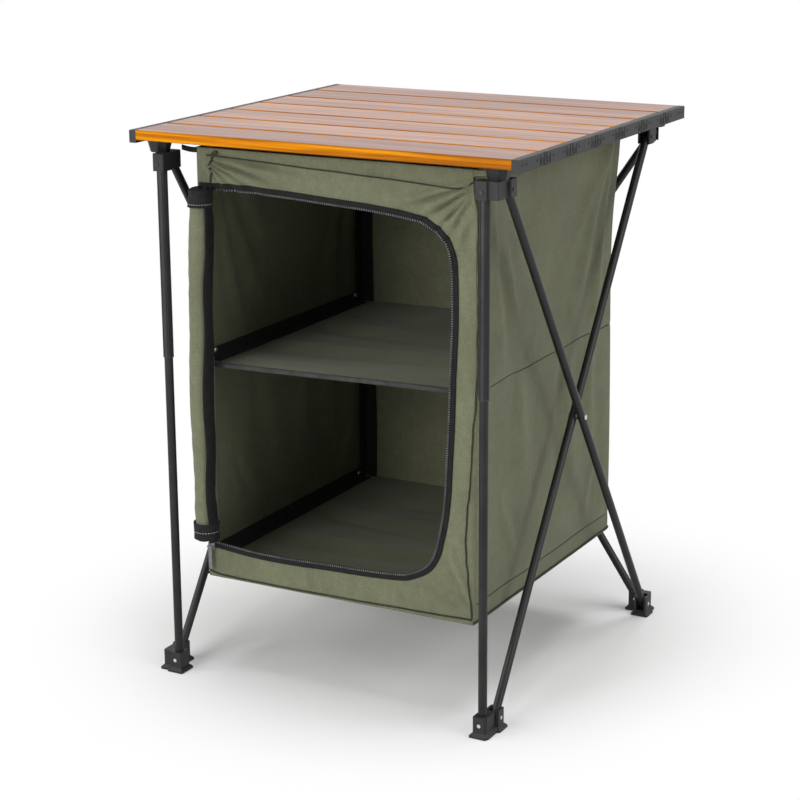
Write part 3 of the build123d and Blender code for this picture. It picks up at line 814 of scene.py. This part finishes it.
def offset_line(line, distance):
    """A flat line moved towards its right-hand side as it runs."""
    way = unit(np.gradient(line, axis=0))
    return line + distance * np.stack([way[:, 1], -way[:, 0]], axis=1)


def on_front(line):
    """Path points of the front face from (x, z)."""
    return np.stack([line[:, 0] + HALF_X, line[:, 1] - BOTTOM], axis=1)


# The opening's edge and the panel's outline, in four stretches each, joined by rings of points
edge_line = offset_line(tape_line, TAPE_WIDTH - PANEL_UNDER_TAPE)
edge_line = edge_line[edge_line[:, 0] >= DOOR_LEFT]
edge_line[0, 0] = edge_line[-1, 0] = DOOR_LEFT
top_turn = int(np.argmax(edge_line[:, 0] + edge_line[:, 1]))
low_turn = int(np.argmax(edge_line[:, 0] - edge_line[:, 1]))
SEAM_X = HALF_X - WRAP
LEFT_X = -HALF_X + WRAP
RINGS = 40
inner_parts = [
    spaced(edge_line[: top_turn + 1], 240)[:-1],
    spaced(edge_line[top_turn : low_turn + 1], 150)[:-1],
    spaced(edge_line[low_turn:], 130)[:-1],
    spaced(np.array([edge_line[-1], edge_line[0]]), 100)[:-1],
]
corners = [(LEFT_X, TOP), (SEAM_X, TOP), (SEAM_X, BOTTOM), (LEFT_X, BOTTOM), (LEFT_X, TOP)]
outer_parts = [
    np.linspace(start, end, len(inner), endpoint=False)
    for start, end, inner in zip(corners[:-1], corners[1:], inner_parts)
]
inner_loop, outer_loop = np.vstack(inner_parts), np.vstack(outer_parts)
rings = [on_front(inner_loop + (outer_loop - inner_loop) * t) for t in np.linspace(0, 1, RINGS)]
points = np.vstack([FRONT.at(r[:, 0], r[:, 1]) for r in rings])
faces = grid_faces(RINGS, len(inner_loop), closed=True)
look = (GREEN, "cloth_green", "hub_fl", CLOTH_THICK)
front_piece = build("front_panel_cloth", points, faces, *look, way="X", node="front_panel")

# Seams and piping of the front panel, as (x, z)
LOOP_X, LOOP_Z = -0.1866, 0.7672
LOOP_WIDE, LOOP_TILT, LOOP_TALL = 0.0046, 0.0016, 0.0019
top_path = curve_through(
    [
        (-0.2, 0.764), (-0.136, 0.7612), (0.0, 0.756), (0.106, 0.751), (0.18, 0.7475),
        (0.203, 0.75), (0.2145, 0.757),
    ],
    16,
)
turns = np.append(around(24), 0.0)
loop_z = LOOP_Z + LOOP_TILT * np.cos(turns) + LOOP_TALL * np.sin(turns)
loop_path = np.stack([LOOP_X + LOOP_WIDE * np.cos(turns), loop_z], axis=1)
left_path = curve_through([(-0.189, 0.766), (-0.1905, 0.752), (-0.1915, 0.738), (-0.1932, 0.726)], 24)
right_path = curve_through(
    [
        (0.2165, 0.764), (0.2172, 0.7), (0.2175, 0.6), (0.2172, 0.492), (0.2155, 0.43),
        (0.2125, 0.352), (0.208, 0.305), (0.2055, 0.263), (0.2085, 0.215), (0.213, 0.18),
        (0.2145, BOTTOM + HEM),
    ],
    10,
)
right_path[:, 0] += waves(66, 9, 0.012, 0.06, 0.0007)(right_path[:, 1], 0 * right_path[:, 1])
low_path = curve_through(
    [
        (LEFT_X, 0.151), (-0.19, 0.1465), (-0.1, 0.1455), (0.0, 0.146), (0.1, 0.1475),
        (SEAM_X, 0.15),
    ],
    18,
)
# The front's seams and its small loop take the darkened seam cloth, painted shade; the piping keeps its own
# dark cloth.
for name, path, profile, look, lift in (
    ("front_top_seam", top_path, strip_profile(0.002, 0.001), SEAM_SHADE, TRIM_LIFT),
    ("front_left_loop", loop_path, round_profile(0.0014), SEAM_SHADE, 0.0008),
    ("front_left_seam", left_path, strip_profile(0.0028, 0.001), SEAM_SHADE, 0.0008),
    ("front_right_piping", right_path, round_profile(0.0013), PIPING, TRIM_LIFT),
    ("front_hem_piping", low_path, round_profile(0.0014), PIPING, TRIM_LIFT),
):
    trim(name, FRONT, on_front(path), profile, look, "hub_fl", "X", lift)

# Zip round the opening
rows = [on_front(offset_line(tape_line, a)) for a in np.linspace(0.0, TAPE_WIDTH, 6)]
points = np.vstack([FRONT.at(r[:, 0], r[:, 1], TAPE_THICK) for r in rows])
faces = grid_faces(len(rows), len(tape_line), flip=True)
look = (TAPE, "zip_black", "hub_fl", TAPE_THICK)
tape_piece = build("zip_tape_weave", points, faces, *look, way="X", node="zip_tape")

TOOTH_PITCH = 0.0034
TOOTH_SIZE = (0.0012, 0.0026, 0.0012)
TOOTH_INSET = 0.0016
TOOTH_LIFT = 0.0004
teeth_line = spaced(offset_line(tape_line, TAPE_WIDTH - TOOTH_INSET), 700)
stations = np.arange(TOOTH_PITCH, lengths_along(teeth_line)[-1], TOOTH_PITCH)
line, normals = FRONT.line(on_front(points_along(teeth_line, stations)), TAPE_THICK + TOOTH_LIFT)
tangents = unit(np.gradient(line, axis=0))
axes = zip(tangents, np.cross(tangents, normals), normals)
points, faces = join([brick(p, three, TOOTH_SIZE) for p, three in zip(line, axes)])
teeth_piece = build("zip_teeth", points, faces, TEETH, "zip_metal", "hub_fl", way="X", smooth=False)

# Rolled door: its ends past the solid's, its ties, its turns, and how far its layers slip past each other
ROLL_LOW, ROLL_HIGH = roll_low.z + 0.0115, roll_high.z + 0.008
ROLL_X = (roll_low.x + roll_high.x) / 2
ROLL_Y = (roll_low.y + roll_high.y) / 2
ROLL_R = (roll_high.y - roll_low.y) / 2
ROLL_CORE = 0.0032
ROLL_THICK = 0.001
TIE_HALF = 0.012
TIE_LEVELS = (ROLL_LOW + 0.0122, ROLL_HIGH - 0.0118)
TIE_PINCH = 0.016
END_ANGLE = math.radians(-14)
TURNS = 5.2
TURN_POINTS = 150
LAYER_SLIP = 0.0026
roll_lean = curve_through([(0.0, -0.006), (0.3, -0.0072), (0.6, -0.0062), (1.0, 0.001)], 10)
roll_noise = waves(61, 12, 0.05, 0.22, 0.0011)
roll_ripple = waves(62, 14, 0.014, 0.05, 0.0005)


def roll_share(z):
    """How far up the roll a height is, from 0 to 1."""
    return (z - ROLL_LOW) / (ROLL_HIGH - ROLL_LOW)


def roll_point(angle, z, radius):
    """A point of the roll at an angle from +X, a height and a plain radius."""
    t = roll_share(z)
    shift = np.interp(t, roll_lean[:, 0], roll_lean[:, 1])
    pinch = sum(hump(z, tie, TIE_PINCH) for tie in TIE_LEVELS)
    swell = 1.04 + 0.1 * np.sin(math.pi * t) - 0.1 * pinch
    wrap = np.mod(angle, 2 * math.pi) * ROLL_R
    r = radius * swell + (roll_noise(wrap, z) + roll_ripple(wrap, z)) * (radius / ROLL_R)
    return np.stack([ROLL_X + shift + r * np.cos(angle), ROLL_Y + r * np.sin(angle), z + 0 * angle], axis=-1)


def roll_spiral(low, high, rows):
    """The door's spiral between two heights, as rows of points."""
    angles = np.linspace(END_ANGLE + TURNS * 2 * math.pi, END_ANGLE, TURN_POINTS)
    angle, z = np.meshgrid(angles, np.linspace(low, high, rows))
    points = roll_point(angle, z, np.linspace(ROLL_CORE, ROLL_R + 0.0004, TURN_POINTS) + 0 * z)
    points[..., 2] += LAYER_SLIP * np.sin(angle * 0.7 + 0.6) * (2 * roll_share(z) - 1)
    return points


ROLL_ROWS = 70
points = roll_spiral(ROLL_LOW, ROLL_HIGH, ROLL_ROWS)
faces = grid_faces(ROLL_ROWS, TURN_POINTS)
look = (GREEN, "cloth_green", "hub_fl", ROLL_THICK)
roll_piece = build("door_roll_cloth", points.reshape(-1, 3), faces, *look, node="door_roll")

# The rolled door's own zip tape: its turns at both ends of the roll, and its last edge down the roll's side
END_OUT, END_IN = 0.0008, 0.006
END_THICK, END_OFFSET = 0.0021, -0.48
parts = []
for low, high in ((ROLL_LOW - END_OUT, ROLL_LOW + END_IN), (ROLL_HIGH - END_IN, ROLL_HIGH + END_OUT)):
    parts.append((list(roll_spiral(low, high, 4).reshape(-1, 3)), grid_faces(4, TURN_POINTS)))
ends_piece = build("door_tape_ends", *join(parts), TAPE, "zip_black", "hub_fl", END_THICK, END_OFFSET)

BAND_LIFT, BAND_THICK = 0.0016, 0.001
BAND_ROWS, BAND_COLUMNS = 90, 9
heights = np.linspace(ROLL_LOW - 0.004, ROLL_HIGH + 0.003, BAND_ROWS)[:, None]
flutter = waves(63, 7, 0.06, 0.3, 0.15)(heights, 0 * heights)
angles = np.radians(np.linspace(-47, 8, BAND_COLUMNS))[None, :] + flutter
points = roll_point(angles, heights + 0 * angles, ROLL_R + BAND_LIFT)
faces = grid_faces(BAND_ROWS, BAND_COLUMNS)
look = (TAPE, "zip_black", "hub_fl", BAND_THICK)
band_piece = build("door_zip_tape", points.reshape(-1, 3), faces, *look, offset=1)

# Ties: a webbing band round each end of the roll, sewn to the panel behind it, with a row of stitches
TIE_LIFT = 0.0018
TIE_THICK = 0.0014
TIE_POINTS = 48
STITCH_LIFT = 0.0016
STITCH_SIZE = (0.0017, 0.0006, 0.0006)
STITCH_DROPS = (0.001, TIE_HALF - 0.0045)
parts, stitches = [], []
for tie, drop in zip(TIE_LEVELS, STITCH_DROPS):
    angle, z = np.meshgrid(around(TIE_POINTS), tie + np.linspace(-TIE_HALF, TIE_HALF, 7))
    inner = roll_point(angle, z, ROLL_R + TIE_LIFT)
    outer = inner + TIE_THICK * unit((inner - (ROLL_X, ROLL_Y, 0.0)) * (1, 1, 0))
    ring = np.concatenate([outer, inner[::-1], outer[:1]])
    parts.append((list(ring.reshape(-1, 3)), grid_faces(len(ring), TIE_POINTS, closed=True)))
    tab = (ROLL_X + 0.001, (ROLL_Y - HALF_Y) / 2 - 0.004, tie)
    parts.append(brick(tab, np.eye(3), (0.0016, -HALF_Y - ROLL_Y - 0.01, 2 * TIE_HALF)))
    for a in np.radians(np.arange(-140, 8, 13)):
        at = roll_point(a, np.asarray(tie - drop), ROLL_R + TIE_LIFT + STITCH_LIFT)
        axes = ((-math.sin(a), math.cos(a), 0), (math.cos(a), math.sin(a), 0), (0, 0, 1))
        stitches.append(brick(at, axes, STITCH_SIZE))
tie_piece = build("door_tie_webbing", *join(parts), BLACK, "webbing_black", "hub_fl", node="door_ties")
look = (STITCH, "webbing_black", "hub_fl")
stitch_piece = build("door_tie_stitches", *join(stitches), *look, smooth=False)

# Shelves and roof
WEDGES = 8
WEDGE_ROWS, WEDGE_COLUMNS = 60, 6
WEDGE_TIP = 0.002
ROOF_DROP, ROOF_INSET = 0.004, 0.004
# Folds across a shelf: place from front to back, slant, width and height
SHELF_FOLDS = (
    (-0.185, 0.01, 0.016, 0.002), (-0.12, 0.02, 0.014, -0.003), (-0.07, 0.016, 0.016, 0.0034),
    (0.0, -0.012, 0.012, -0.003), (0.05, -0.01, 0.018, 0.003), (0.12, 0.012, 0.016, -0.0024),
)


def flat_panel(name, node, level, front, rear, shape, material):
    """A level panel cut into wedges from its back left corner, on the back left hub's body."""
    slot = "shelf_cloth" if material is SHELF else "cloth_green"
    wide, deep = 2 * INSIDE_X, rear - front
    corner = math.atan2(deep, wide)
    cuts = np.append(np.linspace(0, corner, WEDGES + 1), np.linspace(corner, math.pi / 2, WEDGES + 1)[1:])
    share = np.linspace(0.0, 1.0, WEDGE_ROWS)[:, None]
    for k, (a, b) in enumerate(zip(cuts[:-1], cuts[1:])):
        turns = np.linspace(a, b, WEDGE_COLUMNS)
        reach = np.minimum(wide / np.maximum(np.cos(turns), 1e-9), deep / np.maximum(np.sin(turns), 1e-9))
        run = WEDGE_TIP + share * (reach - WEDGE_TIP)
        x = -INSIDE_X + run * np.cos(turns)
        y = rear - run * np.sin(turns)
        points = np.stack([x, y, level + shape(x, y)], axis=-1).reshape(-1, 3)
        faces = grid_faces(WEDGE_ROWS, WEDGE_COLUMNS)
        piece = build(f"{name}_{k + 1:02d}", points, faces, material, slot, "hub_bl", node=node)
        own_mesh(piece)


def shelf_shape(seed, tilt, sag):
    """How a shelf's cloth leaves its level: a sag, a tilt to one side and folds across it."""
    soft = waves(seed, 10, 0.1, 0.4, 0.001, (0.35, 1.0))

    def shape(x, y):
        fx, fy = x / HALF_X, y / HALF_Y
        dip = -sag * np.clip(1 - fx**2, 0, 1) * np.clip(1 - fy**2, 0, 1)
        fold = sum(h * hump(y - slant * fx, at, wide) for at, slant, wide, h in SHELF_FOLDS)
        return dip + (fold + soft(x, y)) * (1 - step(0.72, 0.96, np.abs(fx))) + tilt * fx

    return shape


MID_LEVEL, LOW_LEVEL, ROOF_LEVEL = shelf_high.z, floor_high.z, roof_high.z - ROOF_DROP
MID_SHAPE = shelf_shape(71, 0.0045, 0.004)
LOW_SHAPE = shelf_shape(72, 0.0, 0.005)
ROOF_SHAPE = waves(73, 12, 0.1, 0.4, 0.0024)
flat_panel("mid_shelf_cloth", "mid_shelf", MID_LEVEL, shelf_low.y, rear_at(MID_LEVEL), MID_SHAPE, SHELF)
flat_panel("floor_cloth", "floor_shelf", LOW_LEVEL, INSIDE_FRONT, rear_at(LOW_LEVEL), LOW_SHAPE, SHELF)
flat_panel("roof_cloth", "roof_panel", ROOF_LEVEL, INSIDE_FRONT, HALF_Y - ROOF_INSET, ROOF_SHAPE, GREEN)

# Binding along the middle shelf's front edge, with its profile as (across, out)
BIND_DROP = 0.0022
BIND_OUT = 0.0004
BIND_PROFILE = [
    (-0.0034, 0.0), (-0.003, 0.0018), (0.0, 0.0026), (0.003, 0.0018), (0.0034, 0.0), (0.0028, -0.004),
    (-0.0028, -0.004),
]
x = np.linspace(-INSIDE_X, INSIDE_X, 80)
y = np.full(80, shelf_low.y)
line = np.stack([x, y - BIND_OUT, MID_LEVEL - BIND_DROP + MID_SHAPE(x, y)], axis=1)
points, faces = sweep(line, np.tile([0.0, -1.0, 0.0], (80, 1)), BIND_PROFILE)
build("mid_shelf_binding", points, faces, GREY, "webbing_black", "hub_fl", way="X")

# Side strips of the shelves: their bend as (inward, up), and their rivets' heads as (radius, height)
RAIL_TALL = 0.017
RAIL_THICK = 0.002
RAIL_LIFT = 0.0004
RAIL_BEND = ((0.0, RAIL_TALL), (0.0, 0.004), (0.0012, 0.0012), (0.004, 0.0004), (0.015, 0.0004))
RIVET_DOME = ((0.0042, 0.0), (0.0042, 0.0006), (0.0036, 0.0013), (0.0022, 0.0017), (0.0004, 0.0018))
RIVET_SIDES = 16


def bent_strip(name, side, rows, body, node, thickness, offset):
    """A strip of webbing bent into a corner, from lines that run along it."""
    faces = grid_faces(len(rows[0]), len(rows), flip=side > 0)
    build(name, woven(rows), faces, BLACK, "webbing_black", body, thickness, offset, "Y", node)


def dome(name, side, y, z, body):
    """A rivet's head on a side strip, in the lighter steel that paints a highlight."""
    turns = around(RIVET_SIDES)
    rings = []
    for r, height in RIVET_DOME:
        x = np.full(RIVET_SIDES, side * (INSIDE_X - RAIL_THICK - height))
        rings.append(np.stack([x, y + r * np.cos(turns), z + r * np.sin(turns)], axis=1))
    last = (len(rings) - 1) * RIVET_SIDES
    ends = [tuple(range(last, last + RIVET_SIDES)), tuple(range(RIVET_SIDES - 1, -1, -1))]
    faces = [f[::-side] for f in grid_faces(len(rings), RIVET_SIDES, closed=True) + ends]
    build(name, np.vstack(rings), faces, GLINT_STEEL, "rivet_steel", body, node="shelf_rivets")


for side in (-1, 1):
    for label, base, shape in (("mid", MID_LEVEL, MID_SHAPE), ("low", LOW_LEVEL, LOW_SHAPE)):
        word, rear = f"{SIDE_NAME[side]}_{label}", rear_at(base)
        y = np.linspace(rail_low.y, rear - 0.012, 40)
        rows = []
        for inward, up in RAIL_BEND:
            x = np.full(40, side * (INSIDE_X - RAIL_THICK - inward))
            rows.append(np.stack([x, y, base + shape(x, y) + up + RAIL_LIFT], axis=1))
        bent_strip(f"{word}_strip", side, rows, SIDE_BODY[side], "shelf_rails", RAIL_THICK * 0.8, -1.0)
        rivet_z = base + RAIL_TALL / 2
        dome(f"{word}_front_rivet", side, rail_low.y + 0.012, rivet_z, FRONT_BODY[side])
        dome(f"{word}_back_rivet", side, rear - 0.024, rivet_z, SIDE_BODY[side])

# Webbing in the two back corners: its bend as (inward, forward)
STRAP_INSET = 0.0016
STRAP_BEND = ((0.0, 0.018), (0.0, 0.005), (0.0012, 0.0012), (0.005, 0.0), (0.021, 0.0))
for side in (-1, 1):
    z = BOTTOM + np.linspace(0.01, TALL - 0.006, 60)
    rows = []
    for inward, forward in STRAP_BEND:
        x = np.full(60, side * (INSIDE_X - STRAP_INSET - inward))
        rows.append(np.stack([x, rear_at(z) - STRAP_INSET - forward, z], axis=1))
    bent_strip(f"{SIDE_NAME[side]}_corner_strap", side, rows, SIDE_BODY[side], "corner_straps", 0.0014, 1.0)

# Tabs that hang the cupboard from the four hubs
TAB_HALF = 0.0035
TAB_SAG = 0.0016
TAB_RIPPLE = 0.0006
TAB_THICK = 0.0016
for side in (-1, 1):
    for end, label in ((-1, "f"), (1, "b")):
        word = label + SIDE_NAME[side][0]
        hub_low, hub_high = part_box(f"hub_{word}")
        hub_x = hub_high.x if side < 0 else hub_low.x
        hub_y = hub_low.y if end > 0 else hub_high.y
        start = np.array([side * (HALF_X - 0.008), end * (HALF_Y - 0.002), TOP - 0.0035])
        way = np.array([hub_x - side * 0.0004, hub_y + end * 0.004, TOP - 0.0015]) - start
        t = np.linspace(0, 1, 14)[:, None]
        line = start + way * t - np.array([0, 0, TAB_SAG]) * np.sin(math.pi * t)
        out = unit(np.array([-way[1], way[0], 0.0]))
        rows = []
        for k in np.linspace(-1, 1, 6):
            rows.append(line + np.array([0, 0, TAB_HALF * k]) + TAB_RIPPLE * math.sin(5 * k) * out)
        look, slot = (GREEN, "cloth_green") if word == "fr" else (BLACK, "webbing_black")
        faces = grid_faces(14, 6)
        build(f"corner_tab_{word}", woven(rows), faces, look, slot, f"hub_{word}", TAB_THICK, 0)

# Painted shade on the end caps: near-black marks for round pits, hinge rings and slits
SLATS = 7
MARK_SIDES = 16
MARK_OUT = 0.0003
PIT = (0.0019, 0.0019, 0.0)
HINGE = (0.0036, 0.0052, 0.66)
PIT_INSET, END_PIT_INSET, HINGE_INSET = 0.022, 0.01, 0.0065
PIT_RISE, HINGE_DROP = 0.001, 0.002
SLIT_DEEP, SLIT_WIDE = 0.0006, 0.0012
SLITS = ((0.0125, 1.5), (0.0004, 1.9))


def side_ring(face_x, side, y, z, wide, tall, bore):
    """A flat oval of painted shade on a cap's end face: a ring, or a disc where bore is 0."""
    turns = around(MARK_SIDES)
    across, up = wide * np.cos(turns), tall * np.sin(turns)
    inner, hole = max(bore, 0.06), max(bore - 0.04, 0.04)
    rings = []
    for share, out in ((1.0, -SINK), (0.96, MARK_OUT), (inner, MARK_OUT), (hole, -SINK)):
        x = np.full(MARK_SIDES, face_x + side * out)
        rings.append(np.stack([x, y + share * across, z + share * up], axis=1))
    return list(np.vstack(rings)), grid_faces(len(rings), MARK_SIDES, closed=True, flip=side < 0)


for index in range(1, SLATS + 1):
    low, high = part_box(f"slat_{index}")
    cap_low, cap_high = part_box(f"slat_{index}_caps")
    z = (cap_low.z + cap_high.z) / 2
    half_tall = (cap_high.z - cap_low.z) / 2
    parts = []
    for side in (-1, 1):
        x = cap_high.x if side > 0 else cap_low.x
        for edge, way, joined in ((low.y, 1, index > 1), (high.y, -1, index < SLATS)):
            parts.append(side_ring(x, side, edge + way * PIT_INSET, z + PIT_RISE, *PIT))
            if joined:
                parts.append(side_ring(x, side, edge + way * HINGE_INSET, z - HINGE_DROP, *HINGE))
                for inset, share in SLITS:
                    size = (SLIT_DEEP, SLIT_WIDE, share * half_tall)
                    parts.append(brick((x, edge + way * inset, z), np.eye(3), size))
            else:
                parts.append(side_ring(x, side, edge + way * END_PIT_INSET, z + PIT_RISE, *PIT))
    build(f"slat_{index}_cap_marks", *join(parts), RECESS_SHADE, "cap_plastic", f"slat_{index}", smooth=False)

# Grooves along the upper front legs, drawn as near-black strips of painted shade: their turn from +X in
# degrees and their width
GROOVES = ((-112, 0.0008), (-62, 0.0014), (-30, 0.0036))
GROOVE_DEEP = 0.0009
GROOVE_ENDS = 0.004
for word in ("fl", "fr"):
    low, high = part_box(f"leg_{word}_upper")
    hub_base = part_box(f"hub_{word}")[0].z
    centre = np.array([(low.x + high.x) / 2, (low.y + high.y) / 2, (low.z + hub_base) / 2])
    radius = (high.x - low.x) / 2
    parts = []
    for degrees, wide in GROOVES:
        c, s = math.cos(math.radians(degrees)), math.sin(math.radians(degrees))
        out = np.array([c, s, 0.0])
        size = (GROOVE_DEEP, wide, hub_base - low.z - GROOVE_ENDS)
        parts.append(brick(centre + radius * out, (out, (-s, c, 0), (0, 0, 1)), size))
    build(f"leg_{word}_grooves", *join(parts), RECESS_SHADE, "leg_upper_tube", f"hub_{word}", smooth=False)

# Floor: grey under the table, and white where it is seen far from it
FLOOR_SPAN, FLOOR_DROP = 40.0, 0.0005
SHADE_CENTRE = (0.0, -0.06, 0.0)
SHADE_NEAR, SHADE_FAR = 0.28, 0.68
WHITE = (1.0, 1.0, 1.0, 1.0)
ground = bpy.data.meshes.new("ground")
corners = [(x * FLOOR_SPAN, y * FLOOR_SPAN, -FLOOR_DROP) for x, y in ((-1, -1), (1, -1), (1, 1), (-1, 1))]
ground.from_pydata(corners, [], [(0, 1, 2, 3)])
floor = bpy.data.objects.new("ground", ground)
scene.collection.objects.link(floor)
p = Paint("studio_floor")
shifted = p.node("ShaderNodeVectorMath", {0: p.place, 1: SHADE_CENTRE}, operation="ADD").outputs["Vector"]
radius = p.node("ShaderNodeVectorMath", {0: shifted}, operation="LENGTH").outputs["Value"]
tone = p.spread(p.noise(p.place, 3.0), 0.0, 1.0, 0.8, 0.82)
p.give(Base_Color=tone, Roughness=0.9, Specular_IOR_Level=0.1)
glow = p.node("ShaderNodeEmission", {"Color": WHITE, "Strength": 1.0}).outputs["Emission"]
far = p.add(p.seen(), p.spread(radius, SHADE_NEAR, SHADE_FAR, 0.0, 1.0, "SMOOTHSTEP"), "MULTIPLY")
blend = p.node("ShaderNodeMixShader", {0: far, 1: p.shader.outputs["BSDF"], 2: glow}).outputs["Shader"]
output = next(n for n in p.tree.nodes if n.type == "OUTPUT_MATERIAL")
p.feed(output.inputs["Surface"], blend)
ground.materials.append(p.material)

# World: white to the eye, and a weak fill for the rest
WORLD_FILL = 0.22
world = bpy.data.worlds.new("studio")
scene.world = world
world.use_nodes = True
sky = Nodes(world.node_tree)
background = sky.tree.nodes["Background"]
background.inputs["Color"].default_value = WHITE
sky.feed(background.inputs["Strength"], sky.spread(sky.seen(), 0.0, 1.0, WORLD_FILL, 1.0))


# Lamps
def lamp(name, place, aim, size, power):
    """A square soft box that points at a place."""
    data = bpy.data.lights.new(name, "AREA")
    data.shape = "SQUARE"
    data.size = size
    data.energy = power
    light = bpy.data.objects.new(name, data)
    scene.collection.objects.link(light)
    light.location = place
    light.rotation_mode = "QUATERNION"
    light.rotation_quaternion = (Vector(aim) - Vector(place)).to_track_quat("-Z", "Y")


lamp("front", (-0.6, -4.2, 1.45), (0, 0, 0.45), 1.5, 94.0)
lamp("left", (-2.6, -2.8, 2.3), (0, 0, 0.45), 3.0, 84.0)
lamp("right", (3.6, -0.5, 2.0), (0, 0, 0.45), 2.2, 58.0)
lamp("top", (0.2, 0.4, 3.4), (0, 0, 0.4), 2.2, 88.0)
